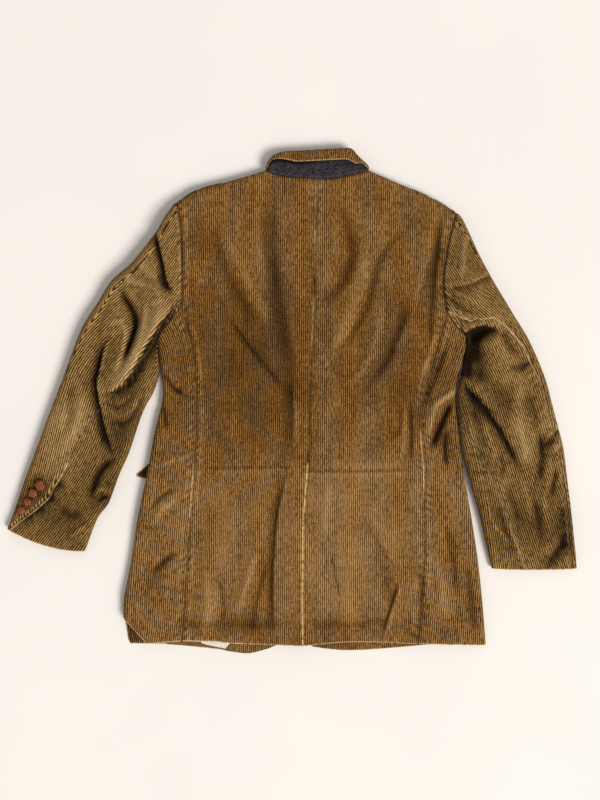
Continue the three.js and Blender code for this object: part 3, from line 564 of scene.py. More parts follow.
def fold_height(folds: Iterable[Fold], x: np.ndarray, y: np.ndarray) -> np.ndarray:
    """Adds up folds at points in plan; each fold fades towards its ends.

    Args:
        folds: The folds.
        x: The points' x.
        y: The points' y.

    Returns:
        The height to add at each point, in mm.
    """
    x, y = np.broadcast_arrays(np.asarray(x, float), np.asarray(y, float))
    total = np.zeros(x.shape)
    for fold in folds:
        reach = 2.6 * max(fold.left_width, fold.right_width)
        path = SmoothLine(fold.path).along(steps(3 * (len(fold.path) - 1)))
        low, high = path.min(axis=0) - reach, path.max(axis=0) + reach
        near = (x > low[0]) & (x < high[0]) & (y > low[1]) & (y < high[1])
        if not near.any():
            continue
        distance, hand, share = nearest(path, x[near], y[near])
        width = np.where(hand > 0, fold.left_width, fold.right_width)
        height = blend(fold.right_height, fold.left_height, smooth(-STEP_CORE, STEP_CORE, hand * distance))
        fade = 0.12 + 0.88 * smooth(0, 0.22, share) * smooth(0, 0.22, 1 - share)
        total[near] += height * fade * np.exp(-((distance / width) ** 2))
    return total


def hill(x: np.ndarray, y: np.ndarray, cx: float, cy: float, size: float) -> np.ndarray:
    """A round hill of height 1 about a point in plan."""
    return np.exp(-((x - cx) ** 2 + (y - cy) ** 2) / size ** 2)


def ripple(x: np.ndarray, y: np.ndarray) -> np.ndarray:
    """Small unevenness of cloth that has been worn and laid down, about 1 high.

    Args:
        x: The points' x, in mm.
        y: The points' y, in mm.

    Returns:
        A height between about -1 and 1.
    """
    waves = ((0.031, 0.013, 0.4), (-0.017, 0.043, 1.9), (0.052, -0.026, 2.7), (0.071, 0.049, 4.1),
             (-0.063, 0.082, 5.2), (0.024, 0.097, 0.9), (0.118, 0.021, 3.3), (-0.09, -0.061, 1.2))
    total = np.zeros(np.shape(x))
    for fx, fy, start in waves:
        total = total + np.sin(fx * x + fy * y + start + 0.8 * np.sin(0.019 * x - 0.023 * y + start))
    return total / 3.2


def patches_at(patches: Sequence, x: np.ndarray, y: np.ndarray) -> np.ndarray:
    """Adds up round patches at points in plan.

    Args:
        patches: Rows of x, y, size and strength.
        x: The points' x.
        y: The points' y.

    Returns:
        The sum at each point.
    """
    return sum(strength * hill(x, y, cx, cy, size) for cx, cy, size, strength in patches)


def calmed(x: np.ndarray, y: np.ndarray, least: float) -> np.ndarray:
    """How much is left of the small folds: all of them, but only least of them on the upper back."""
    return blend(1.0, least, smooth(20, 60, y) * smooth(250, 215, x))


def back_top(x: np.ndarray, y: np.ndarray, small: bool = True) -> np.ndarray:
    """Height of the upper layer of the body over the floor."""
    pads = sum(hill(x, y, *place, PAD_SIZE) for place in SHOULDER_PADS)
    height = (BACK_HEIGHT + PAD_HEIGHT * pads + 1.2 * np.sin(x / 41 + y / 95) * np.sin(y / 62)
              + fold_height(BODY_FOLDS, x, y))
    if small:
        height = height + fold_height(SMALL_BODY_FOLDS, x, y) * calmed(x, y, 0.5) + 0.45 * ripple(x, y)
    return height


def front_level(y: np.ndarray) -> np.ndarray:
    """Height of the lower layer of the body, which lies on the lapels above the hem."""
    return blend(FRONT_ON_FLOOR, FRONT_ON_LAPEL, smooth(LIFT_START, LIFT_END, y))


def body_height(x: np.ndarray, y: np.ndarray, upper: bool, lift: float | np.ndarray = 0.0) -> np.ndarray:
    """Height of a layer of the body, turned in to half height at the shoulder edge.

    Args:
        x: The points' x.
        y: The points' y.
        upper: Whether it is the back, which is the upper layer.
        lift: How far the lower layer is held up.

    Returns:
        The height at each point, in mm.
    """
    top = back_top(x, y, small=upper)
    bottom = front_level(y)
    half = (top - bottom) / 2
    distance = np.minimum(*(nearest(SHOULDER[side], x, y)[0] for side in Side))
    turned = quarter_round(distance / half)
    apart = SHOULDER_GAP if upper else -SHOULDER_GAP
    reach = half - SHOULDER_GAP if upper else lift - half + SHOULDER_GAP
    return (top + bottom) / 2 + apart + reach * turned


@dataclass
class Cloth:
    """A panel as a ruled grid of points with the direction it faces, in millimetres.

    grain holds the place on the flat cloth, across and along the wales. The shading grid is above 0 where
    ridges get a painted highlight and where the nap is rubbed light by wear, and below 0 where troughs,
    seams, pits and hollows get painted shade. edge is the distance to the nearest worn edge, and worn how
    far that edge is rubbed.
    """

    points: np.ndarray
    normals: np.ndarray
    grain: np.ndarray
    tone: np.ndarray
    edge: np.ndarray
    worn: np.ndarray

    @classmethod
    def ruled(cls, points: np.ndarray, flip: float, closed: bool = False) -> "Cloth":
        """Makes a panel from a grid of points.

        Args:
            points: Rows and columns of points.
            flip: 1 or -1, so that the panel faces out of the jacket.
            closed: Whether the last column joins the first.

        Returns:
            The panel, its grain laid along plan x and y.
        """
        if closed:
            across = np.roll(points, -1, axis=1) - np.roll(points, 1, axis=1)
        else:
            across = np.gradient(points, axis=1)
        normals = unit(np.cross(across, np.gradient(points, axis=0))) * flip
        flat = np.zeros(points.shape[:2])
        return cls(points, normals, points[..., :2].copy(), flat.copy(), flat + 60.0, flat.copy())

    def part(self, rows: tuple, columns: tuple) -> "Cloth":
        """Part of the panel; columns run round past the end on a closed one.

        Args:
            rows: First and last row.
            columns: First and last column.

        Returns:
            A panel of its own.
        """
        row = np.arange(rows[0], rows[1] + 1)[:, None]
        column = np.arange(columns[0], columns[1] + 1)[None] % self.points.shape[1]
        return Cloth(*(grid[row, column].copy() for grid in self.grids()))

    def grids(self) -> tuple:
        """Every grid that the panel holds."""
        return self.points, self.normals, self.grain, self.tone, self.edge, self.worn

    def moved(self, distance: float) -> "Cloth":
        """The same panel moved the way it faces."""
        copies = [grid.copy() for grid in self.grids()]
        copies[0] = self.points + self.normals * distance
        return Cloth(*copies)

    def lengths(self, axis: int) -> np.ndarray:
        """Length passed along each column (axis 0) or row (axis 1)."""
        spans = np.linalg.norm(np.diff(self.points, axis=axis), axis=-1)
        passed = np.cumsum(spans, axis=axis)
        return np.concatenate([np.zeros_like(np.take(passed, [0], axis=axis)), passed], axis=axis)

    def grain_from(self, column: int, angles: np.ndarray, level: np.ndarray) -> np.ndarray:
        """Places on the flat cloth when the wales run at an angle for each row.

        Args:
            column: The column that holds the rows together.
            angles: Direction of the wales in plan for each row, in degrees from +X.
            level: Height of the cloth without its small folds.

        Returns:
            Lengths across and along the wales, for each point.
        """
        turned = np.radians(angles)
        way = np.stack([np.cos(turned), np.sin(turned)], -1)[:, None]
        square = way[..., ::-1] * (1, -1)
        plan = self.points[..., :2]
        held = plan[:, column][:, None]
        moved = np.diff(held, axis=0, prepend=held[:1])
        across, along = (((plan - held) * axis).sum(-1) + np.cumsum((moved * axis).sum(-1), axis=0)
                         for axis in (square, way))
        over = (np.diff(plan, axis=1) * square).sum(-1)
        facing = np.where((over * (self.normals[:, 1:, 2] > FACES_UP)).sum(axis=1, keepdims=True) < 0, -1, 1)
        rise = facing * np.hypot(over, np.diff(level, axis=1)) - over
        extra = np.concatenate([np.zeros_like(over[:, :1]), np.cumsum(rise, axis=1)], axis=1)
        across = across + eased_down(extra - extra[:, column][:, None], 1)
        return np.stack([across, along], -1)

    def distances(self) -> dict:
        """Distance of each point to each edge of the panel, along the cloth."""
        down, over = self.lengths(0), self.lengths(1)
        ends = {Edge.END: down[-1:] - down, Edge.LAST: over[:, -1:] - over}
        return {Edge.START: down, Edge.FIRST: over, **ends}

    def wear_edges(self, strengths: dict) -> None:
        """Notes how near each point is to a worn edge, and how far that edge is rubbed.

        Args:
            strengths: How far each edge is rubbed, from 0 to 1, the same all along or for each point.
        """
        distances = self.distances()
        for name, strength in strengths.items():
            nearer = distances[name] < self.edge
            self.edge = np.where(nearer, distances[name], self.edge)
            self.worn = np.where(nearer, strength, self.worn)

    def sink_seams(self, edges: Iterable[Edge], depth: float = 0.9, pucker: float = 0.35,
                   shade: float = 0.6, allowance: float = 0.0, inset: float = 10.0) -> None:
        """Draws the cloth in along its seams, with a welt beside each and puckers across it, and paints shade
        in each seam and light and shade on the puckers.

        Args:
            edges: The edges that are seams.
            depth: How far a seam lies below the cloth beside it.
            pucker: How high the puckers stand, and how strongly their crests are painted lighter and their
                hollows darker.
            shade: How dark the painted shade in the seam lies.
            allowance: How light the line is rubbed over the edge of the seam allowance.
            inset: Distance of that line from the seam.
        """
        distances = self.distances()
        down, over = self.lengths(0), self.lengths(1)
        total = np.zeros(self.tone.shape)
        for name in edges:
            d = distances[name]
            along = down if name in (Edge.FIRST, Edge.LAST) else over
            swell = np.sin(along / 31.0 + 1.0) + 0.6 * np.sin(along / 13.0)
            waves = np.sin(along / 2.1 + 1.7 * np.sin(along / 17.0)) * swell
            beside = np.exp(-((d / 12) ** 2)) * (1 - np.exp(-((d / 3) ** 2)))
            welt = 0.5 * np.exp(-(((d - 6) / 3.5) ** 2))
            total = total - depth * np.exp(-((d / 2.4) ** 2)) + welt + pucker * waves * beside
            rubbed = np.exp(-(((d - inset) / 1.9) ** 2)) * (0.7 + 0.5 * np.sin(along / 7.0 + 2 * swell))
            self.tone = self.tone + allowance * rubbed
            # Painted highlight on the puckers' crests, painted shade in their hollows and in the seam's
            # groove.
            self.tone = self.tone + waves * beside * pucker * 0.9 - shade * np.exp(-((d / 2.6) ** 2))
        self.points = self.points + self.normals * total[..., None]


def eased_down(grid: np.ndarray, reach: int) -> np.ndarray:
    """Evens a grid out down its columns, over reach rows to both sides."""
    padded = np.pad(grid, ((reach + 1, reach), (0, 0)), mode="edge")
    passed = np.cumsum(padded, axis=0)
    width = 2 * reach + 1
    return (passed[width:] - passed[:-width]) / width


def share_normals(a: Cloth, a_index: tuple, b: Cloth, b_index: tuple) -> None:
    """Gives two seam edges the same facing direction, so that their walls end parallel.

    Args:
        a: One panel.
        a_index: Its rows and columns along the seam.
        b: The other panel.
        b_index: Its rows and columns along the seam, in the same order.
    """
    shared = unit(a.normals[a_index] + b.normals[b_index])
    a.normals[a_index] = shared
    b.normals[b_index] = shared


def fill_plan(left: np.ndarray, right: np.ndarray, top: np.ndarray, bottom: np.ndarray) -> np.ndarray:
    """Fills a plan grid between four edges that meet at the corners.

    Args:
        left: Points down the left edge.
        right: Points down the right edge.
        top: Points along the top.
        bottom: Points along the bottom.

    Returns:
        Rows and columns of points in plan.
    """
    u = np.clip((top[:, 0] - top[0, 0]) / (top[-1, 0] - top[0, 0]), 0, 1)[None, :, None]
    v = ((left[0, 1] - left[:, 1]) / (left[0, 1] - left[-1, 1]))[:, None, None]
    ruled = blend(left[:, None], right[:, None], u)
    top_bow = top[None] - blend(top[0], top[-1], u)
    bottom_bow = bottom[None] - blend(bottom[0], bottom[-1], u)
    return ruled + top_bow * (1 - v) + bottom_bow * v


def with_height(plan: np.ndarray, height: np.ndarray) -> np.ndarray:
    """Adds a height to points in plan."""
    return np.concatenate([plan, np.asarray(height, float)[..., None]], axis=-1)


def drops_of(edge: np.ndarray) -> np.ndarray:
    """How far down each point of an edge lies, from 0 at its start to 1 at its end."""
    return (edge[0, 1] - edge[:, 1]) / (edge[0, 1] - edge[-1, 1])


def fold_shading(folds: Iterable[Fold], x: np.ndarray, y: np.ndarray, scale: float = 3.4) -> np.ndarray:
    """Painted highlight on ridges and painted shade in troughs, from the folds' height, about -1.8 to 1."""
    height = fold_height(folds, x, y) / scale
    return np.clip(np.where(height > 0, height * 0.8, height), -1.8, 1)


def body_shading_and_wear(x: np.ndarray, y: np.ndarray) -> np.ndarray:
    """Painted shade and highlight of the body's folds, painted shade about the left waist and along the hem,
    and nap rubbed lighter by wear towards the hem.
    """
    # Patches and bands above 0 are nap rubbed lighter by wear; those below 0 are painted shade.
    rubbed = patches_at(BODY_PATCHES, x, y) + sum(s * smooth(low, high, y) for low, high, s in BODY_BANDS)
    small = fold_shading(SMALL_BODY_FOLDS, x, y) * calmed(x, y, 0.62)
    return fold_shading(BODY_FOLDS, x, y, 6.5) + small + rubbed


def link_new(name: str, data: bpy.types.ID) -> bpy.types.Object:
    """Puts new data into the scene as an object at the origin.

    Args:
        name: The object's name.
        data: Its mesh, light or camera.

    Returns:
        The object.
    """
    made = bpy.data.objects.new(name, data)
    bpy.context.scene.collection.objects.link(made)
    return made


@dataclass
class Piece:
    """One cut-and-sewn piece made into a Blender mesh around its panel."""

    name: str
    cloth: Cloth
    wall: float = WALL
    rim: float = 0.9
    rim_steps: int = 3

    def build(self) -> bpy.types.Object:
        """Gives the panel its wall and a rounded rim, and makes the mesh.

        Returns:
            The closed mesh object, at the origin.
        """
        rows, columns = self.cloth.points.shape[:2]
        ring = self._ring(rows, columns)
        vertices = self._vertices(ring)
        faces = self._faces(ring, np.arange(rows * columns).reshape(rows, columns))
        if self._volume(vertices, faces) < 0:
            faces = faces[:, ::-1]
        mesh = bpy.data.meshes.new(self.name)
        mesh.from_pydata((vertices * MM).tolist(), [], faces.tolist())
        self._write(mesh, faces, ring)
        mesh.validate()
        mesh.shade_smooth()
        return link_new(f"cloth_{self.name}", mesh)

    def _vertices(self, ring: tuple) -> np.ndarray:
        """Both faces of the wall, drawn in by the rim's radius, and the loops of its rim.

        Args:
            ring: Rows and columns of the rim.

        Returns:
            The vertices, none of them under the floor.
        """
        points, normals = self.cloth.points, self.cloth.normals
        out = np.zeros_like(points)
        out[0] += unit(points[0] - points[1])
        out[-1] += unit(points[-1] - points[-2])
        out[:, 0] += unit(points[:, 0] - points[:, 1])
        out[:, -1] += unit(points[:, -1] - points[:, -2])
        half = self.wall / 2
        radius = min(self.rim, half)
        inset = points - out * radius
        angles = math.pi / 2 - math.pi * steps(self.rim_steps + 1)[1:-1]
        loops = [inset[ring] + normals[ring] * half * math.sin(angle) + out[ring] * radius * math.cos(angle)
                 for angle in angles]
        faces = ((inset + normals * way * half).reshape(-1, 3) for way in (1, -1))
        vertices = np.vstack([*faces, *loops])
        vertices[:, 2] = np.maximum(vertices[:, 2], 0.0)
        return vertices

    def _faces(self, ring: tuple, index: np.ndarray) -> np.ndarray:
        """Quads of both faces of the wall and of the rim between them.

        Args:
            ring: Rows and columns of the rim.
            index: Number of each grid point.

        Returns:
            Four vertex numbers for each quad.
        """
        count = index.size
        a, b, c, d = index[:-1, :-1], index[:-1, 1:], index[1:, 1:], index[1:, :-1]
        quads = [np.stack([a, b, c, d], -1).reshape(-1, 4), np.stack([d, c, b, a], -1).reshape(-1, 4) + count]
        ring_ids = index[ring]
        strips = [ring_ids, *(2 * count + k * len(ring_ids) + np.arange(len(ring_ids))
                              for k in range(self.rim_steps)), ring_ids + count]
        for upper, lower in zip(strips[:-1], strips[1:]):
            quads.append(np.stack([np.roll(upper, -1), upper, lower, np.roll(lower, -1)], -1))
        return np.vstack(quads)

    def _ring(self, rows: int, columns: int) -> tuple:
        """Rows and columns of the grid's rim, in order round it."""
        top = [(0, i) for i in range(columns - 1)]
        right = [(j, columns - 1) for j in range(rows - 1)]
        bottom = [(rows - 1, i) for i in range(columns - 1, 0, -1)]
        left = [(j, 0) for j in range(rows - 1, 0, -1)]
        around = np.array(top + right + bottom + left)
        return around[:, 0], around[:, 1]

    def _volume(self, vertices: np.ndarray, faces: np.ndarray) -> float:
        """Signed volume of the closed mesh, in cubic millimetres."""
        a, b, c, d = (vertices[faces[:, k]] for k in range(4))
        first = np.einsum("ij,ij->i", a, np.cross(b, c))
        second = np.einsum("ij,ij->i", a, np.cross(c, d))
        return float((first + second).sum() / 6)

    def _write(self, mesh: bpy.types.Mesh, faces: np.ndarray, ring: tuple) -> None:
        """Writes the grain, the painted light and shade with the wear, and the edge distance on the mesh.

        Args:
            mesh: The mesh.
            faces: Its faces.
            ring: Rows and columns of the rim.
        """
        grain = self.cloth.grain
        per_vertex = np.vstack([grain.reshape(-1, 2)] * 2 + [grain[ring]] * self.rim_steps) * MM
        layer = mesh.uv_layers.new(name="Cloth")
        layer.data.foreach_set("uv", per_vertex[faces].reshape(-1).astype(np.float32))
        marks = {"tone": self.cloth.tone, "edge": self.cloth.edge, "worn": self.cloth.worn}
        for name, grid in marks.items():
            values = np.concatenate([grid.reshape(-1)] * 2 + [grid[ring]] * self.rim_steps)
            attribute = mesh.attributes.new(name, "FLOAT", "POINT")
            attribute.data.foreach_set("value", values.astype(np.float32))


class Value:
    """A shader socket that takes part in Python sums, which add Math nodes."""

    def __init__(self, shader: "Shader", socket: bpy.types.NodeSocket) -> None:
        """Wraps a socket.

        Args:
            shader: The material being built.
            socket: The output socket.
        """
        self.shader = shader
        self.socket = socket

    def _math(self, operation: str, *others: "Value | float") -> "Value":
        """Adds a Math node over this value and others."""
        return self.shader.math(operation, self, *others)

    def __add__(self, other: "Value | float") -> "Value":
        """This plus other."""
        return self._math("ADD", other)

    def __radd__(self, other: float) -> "Value":
        """Other plus this."""
        return self.shader.math("ADD", other, self)

    def __sub__(self, other: "Value | float") -> "Value":
        """This less other."""
        return self._math("SUBTRACT", other)

    def __rsub__(self, other: float) -> "Value":
        """Other less this."""
        return self.shader.math("SUBTRACT", other, self)

    def __mul__(self, other: "Value | float") -> "Value":
        """This times other."""
        return self._math("MULTIPLY", other)

    def __rmul__(self, other: float) -> "Value":
        """Other times this."""
        return self.shader.math("MULTIPLY", other, self)

    def __truediv__(self, other: "Value | float") -> "Value":
        """This over other."""
        return self._math("DIVIDE", other)

    def __neg__(self) -> "Value":
        """This with its sign turned."""
        return self.shader.math("MULTIPLY", self, -1.0)

    def clamped(self) -> "Value":
        """This held between 0 and 1."""
        return self._math("MINIMUM", 1.0)._math("MAXIMUM", 0.0)


class Shader:
    """A material and the nodes it is made of."""

    def __init__(self, name: str) -> None:
        """Starts a material with only its output.

        Args:
            name: The material's name.
        """
        self.material = bpy.data.materials.new(name)
        self.material.use_nodes = True
        self.tree = self.material.node_tree
        self.tree.nodes.clear()
        self.output = self.tree.nodes.new("ShaderNodeOutputMaterial")

    def node(self, kind: str, settings: dict | None = None, inputs: dict | None = None) -> bpy.types.Node:
        """Adds a node.

        Args:
            kind: The node's type, without its ShaderNode start.
            settings: Its own settings, set first.
            inputs: Values or links of its sockets, by name or place.

        Returns:
            The node.
        """
        made = self.tree.nodes.new(f"ShaderNode{kind}")
        for key, value in (settings or {}).items():
            setattr(made, key, value)
        for key, value in (inputs or {}).items():
            self.plug(made.inputs[key], value)
        return made

    def plug(self, socket: bpy.types.NodeSocket, value: object) -> None:
        """Links a value or socket, or sets a number or colour."""
        if isinstance(value, Value):
            self.tree.links.new(value.socket, socket)
        elif isinstance(value, bpy.types.NodeSocket):
            self.tree.links.new(value, socket)
        else:
            socket.default_value = value

    def math(self, operation: str, *terms: Value | float) -> Value:
        """Adds a Math node over its terms."""
        made = self.node("Math", {"operation": operation}, dict(enumerate(terms)))
        return Value(self, made.outputs[0])

    def mix(self, factor: Value | float, a: object, b: object) -> bpy.types.NodeSocket:
        """Mixes two colours.

        Args:
            factor: Share of b.
            a: First colour or socket.
            b: Second colour or socket.

        Returns:
            The mixed colour's socket.
        """
        return self.node("Mix", {"data_type": "RGBA"}, {0: factor, 6: a, 7: b}).outputs[2]

    def noise(self, vector: object, scale: float, detail: float = 2.0, roughness: float = 0.5) -> Value:
        """Adds a noise texture and gives its level, about 0.5 in the mean."""
        made = self.node("TexNoise", {"noise_dimensions": "3D"}, {
            "Vector": vector, "Scale": scale, "Detail": detail, "Roughness": roughness})
        return Value(self, made.outputs[0])

    def attribute(self, name: str) -> Value:
        """Reads a number that the mesh carries."""
        return Value(self, self.node("Attribute", {"attribute_name": name}).outputs["Fac"])

    def between(self, value: Value, low: float, high: float) -> Value:
        """Eases from 0 at low to 1 at high."""
        made = self.node("MapRange", {"interpolation_type": "SMOOTHSTEP"},
                         {0: value, 1: low, 2: high, 3: 0.0, 4: 1.0})
        return Value(self, made.outputs[0])

    def stretched(self, vector: object, scale: tuple) -> bpy.types.NodeSocket:
        """Stretches a vector by a factor on each axis."""
        return self.node("VectorMath", {"operation": "MULTIPLY"}, {0: vector, 1: scale}).outputs[0]

    def bump(self, height: Value, distance: float, strength: float = 1.0) -> bpy.types.NodeSocket:
        """Adds a Bump node over a height."""
        made = self.node("Bump", {}, {"Strength": strength, "Distance": distance, "Height": height})
        return made.outputs[0]

    def finish(self, inputs: dict) -> bpy.types.Material:
        """Adds the surface with its inputs and gives the material.

        Args:
            inputs: Values or links of the Principled surface.

        Returns:
            The finished material.
        """
        surface = self.node("BsdfPrincipled", {}, inputs)
        self.tree.links.new(surface.outputs[0], self.output.inputs["Surface"])
        return self.material


class ClothShader(Shader):
    """A material that reads its place on the flat cloth, in metres."""

    def __init__(self, name: str) -> None:
        """Starts the material and reads the cloth's own UV map.

        Args:
            name: The material's name.
        """
        super().__init__(name)
        self.uv = self.node("UVMap", {"uv_map": "Cloth"}).outputs[0]
        parts = self.node("SeparateXYZ", {}, {0: self.uv})
        self.across, self.along = (Value(self, parts.outputs[k]) for k in range(2))

    def woven(self, across: float, along: float, detail: float = 2.0, roughness: float = 0.5) -> Value:
        """Adds a noise that is stretched with the cloth.

        Args:
            across: Its cells a metre across the wales.
            along: Its cells a metre along them.
            detail: Its detail.
            roughness: Its roughness.

        Returns:
            The noise's level, about 0.5 in the mean.
        """
        return self.noise(self.stretched(self.uv, (across, along, 1)), 1.0, detail, roughness)

    def falling(self, distance: Value, width: float) -> Value:
        """Falls off as a bell with the distance from a line."""
        return self.math("EXPONENT", -(distance / width) * (distance / width))


def linear(red: int, green: int, blue: int) -> tuple:
    """A colour in linear light from its 0 to 255 levels on a screen."""
    levels = (channel / 255 for channel in (red, green, blue))
    return (*(c / 12.92 if c <= 0.04045 else ((c + 0.055) / 1.055) ** 2.4 for c in levels), 1.0)


@dataclass(frozen=True)
class Corduroy:
    """Wide-wale cotton corduroy: rubbed crests, dark grooves between them, worn edges, and the painted
    shade and highlight that the mesh's shading mark carries.
    """

    name: str
    crest: tuple = linear(160, 113, 56)
    groove: tuple = linear(52, 30, 6)
    # Light colour of rubbed edges and wear, also laid on ridges as painted highlight.
    worn: tuple = linear(226, 188, 134)
    # Dark colour of the painted shade in troughs, seams and hollows, and of random dark patches.
    shade_and_blotch: tuple = linear(30, 16, 3)
    patchiness: float = 0.5
    contrast: float = 1.1
    grit: float = 1.3
    sway: float = 0.6
    jitter: float = 0.5
    crest_range: tuple = (0.12, 0.82)
    dash_range: tuple = (0.32, 0.66)
    rim_width: float = 1.1
    rim_reach: float = 6.0
    relief: float = 0.0007

    def make(self) -> bpy.types.Material:
        """Builds the material.

        Returns:
            The finished material.
        """
        s = ClothShader(self.name)
        sway = (s.woven(38, 11) - 0.5) * self.sway
        phase = s.across * (1000 / WALE_PITCH) + sway + (s.woven(240, 120, 1.0) - 0.5) * self.jitter
        wave = s.math("COSINE", phase * (2 * math.pi)) * 0.5 + 0.5
        crest = s.between(wave, *self.crest_range)
        dash = s.between(s.woven(294, 105, 2.0, 0.6), *self.dash_range)
        nap = s.woven(640, 420, 3.0, 0.65)
        cross = s.woven(70, 380, 2.0, 0.6)
        specks = s.woven(340, 310, 2.0, 0.7)
        streak = s.woven(120, 12, 2.0, 0.55)
        patch = s.woven(24, 16, 3.0, 0.55)
        tone, edge, worn = (s.attribute(name) for name in ("tone", "edge", "worn"))
        cloud = (patch - 0.5) * (2.2 * self.patchiness) + (streak - 0.5) * 0.7
        rubbed = crest * (0.5 + dash * 0.45) + (nap - 0.5) * 0.6 + (cross - 0.5) * 0.4 + cloud * 0.35
        rubbed = rubbed + (specks - 0.5) * self.grit
        rubbed = (rubbed - 0.42) * self.contrast + 0.44
        # The shading mark shifts the wales towards groove or crest: painted shade in troughs, painted
        # highlight on ridges.
        base = s.mix((rubbed * 0.85 + tone * 0.16 + 0.06).clamped(), self.groove, self.crest)
        # Painted shade: the dark colour goes where the mark is below 0, in troughs, seams and hollows, and in
        # random dark patches.
        base = s.mix((0.0 - tone * 0.6 - cloud * 0.4 + 0.05).clamped(), base, self.shade_and_blotch)
        # Painted highlight on ridges in the worn colour, together with nap rubbed light by wear and random
        # light patches.
        light = (tone * 0.5 + cloud * 0.45 + (dash - 0.5) * 0.25).clamped() * (crest * 0.7 + 0.3)
        base = s.mix(light * 0.6, base, self.worn)
        line = s.falling(edge, self.rim_width)
        beside = s.math("EXPONENT", -(edge / self.rim_reach)) * 0.22
        broken = s.between(nap * 0.45 + dash * 0.35 + cross * 0.2, 0.25, 0.6)
        rim = worn * (line * (0.25 + broken * 0.75) + beside * crest * dash)
        base = s.mix(rim.clamped(), base, self.worn)
        height = crest * (0.75 + dash * 0.25) + (nap - 0.5) * 0.6 + (cross - 0.5) * 0.3
        return s.finish({
            "Base Color": base,
            "Roughness": 0.95,
            "Specular IOR Level": 0.08,
            "Sheen Weight": 0.06,
            "Sheen Roughness": 0.5,
            "Sheen Tint": (1.0, 0.84, 0.6, 1.0),
            "Normal": s.bump(height, self.relief, 0.8),
        })


@dataclass(frozen=True)
class Felt:
    """Dark undercollar felt with fine fuzz, light hairs, a row of stitches at its seam and a painted shadow
    under the top collar's edge.
    """

    name: str
    body: tuple = linear(20, 17, 22)
    fuzz: tuple = linear(108, 98, 103)
    thread: tuple = linear(150, 122, 88)
    # Colour of the painted shadow in the gap under the top collar's edge.
    gap: tuple = linear(4, 4, 7)
    stitch_inset: float = 2.4
    stitch_width: float = 0.9
    stitch_pitch: float = 0.0052
    relief: float = 0.0006

    def make(self) -> bpy.types.Material:
        """Builds the material.

        Returns:
            The finished material.
        """
        s = ClothShader(self.name)
        hair = s.woven(900, 500, 4.0, 0.7)
        cloud = s.woven(110, 90, 3.0)
        clump = s.woven(560, 420, 2.0, 0.6)
        flecks = s.between(hair * 0.5 + clump * 0.5, 0.44, 0.7)
        base = s.mix((flecks * 0.8 + (cloud - 0.5) * 0.7).clamped(), self.body, self.fuzz)
        seam = s.falling(s.attribute("edge") - self.stitch_inset, self.stitch_width)
        stitch = s.between(s.math("SINE", s.across * (2 * math.pi / self.stitch_pitch)), 0.0, 0.7)
        base = s.mix((seam * stitch * s.attribute("worn")).clamped(), base, self.thread)
        # Painted shadow under the top collar's edge, where the shading mark is below 0.
        base = s.mix((s.attribute("tone") * -0.9).clamped(), base, self.gap)
        return s.finish({
            "Base Color": base,
            "Roughness": 0.97,
            "Specular IOR Level": 0.08,
            "Sheen Weight": 0.12,
            "Sheen Roughness": 0.6,
            "Normal": s.bump(hair + clump + cloud * 0.6, self.relief, 0.8),
        })


@dataclass(frozen=True)
class Lining:
    """Pale smooth lining with a faint woven figure of small grey bars."""

    name: str
    ground: tuple = linear(233, 226, 214)
    figure: tuple = linear(176, 170, 162)
    bar_rate: float = 900.0
    row_rate: float = 520.0

    def make(self) -> bpy.types.Material:
        """Builds the material.

        Returns:
            The finished material.
        """
        s = ClothShader(self.name)
        bars = s.math("SINE", s.across * self.bar_rate)
        rows = s.math("SINE", s.along * self.row_rate)
        figure = s.between(bars * rows, 0.35, 0.8)
        weave = s.woven(1500, 1500)
        folds = s.woven(60, 25)
        base = s.mix((figure * 0.35 + (folds - 0.5) * 0.35).clamped(), self.ground, self.figure)
        return s.finish({
            "Base Color": base,
            "Roughness": 0.55,
            "Sheen Weight": 0.1,
            "Normal": s.bump(folds * 2 + weave * 0.3, 0.0006, 0.6),
        })


@dataclass(frozen=True)
class KnottedLeather:
    """Worn leather laced into a knot, with painted shade on its core deep among the laces, and random
    mottling.
    """

    name: str
    crown: tuple = linear(140, 72, 28)
    # Dark colour of the painted shade among the laces and of the leather's mottling.
    shade_and_mottle: tuple = linear(14, 6, 3)

    def make(self) -> bpy.types.Material:
        """Builds the material.

        Returns:
            The finished material.
        """
        s = Shader(self.name)
        place = s.node("TexCoord").outputs["Object"]
        grain = s.noise(place, 900.0, 4.0, 0.6)
        cloud = s.noise(place, 260.0, 2.0)
        hollow = s.attribute("hollow")
        # Painted shade on the core, which lies deep among the laces, mixed with random mottling of the
        # leather.
        wear = (hollow * 1.2 + (cloud - 0.5) * 1.1 + (grain - 0.5) * 0.7 + 0.12).clamped()
        base = s.mix(wear, self.crown, self.shade_and_mottle)
        return s.finish({
            "Base Color": base,
            "Roughness": (0.36 + grain * 0.22).clamped(),
            "Specular IOR Level": 0.3,
            "Coat Weight": 0.12,
            "Coat Roughness": 0.2,
            "Normal": s.bump(grain, 0.0002, 0.6),
        })


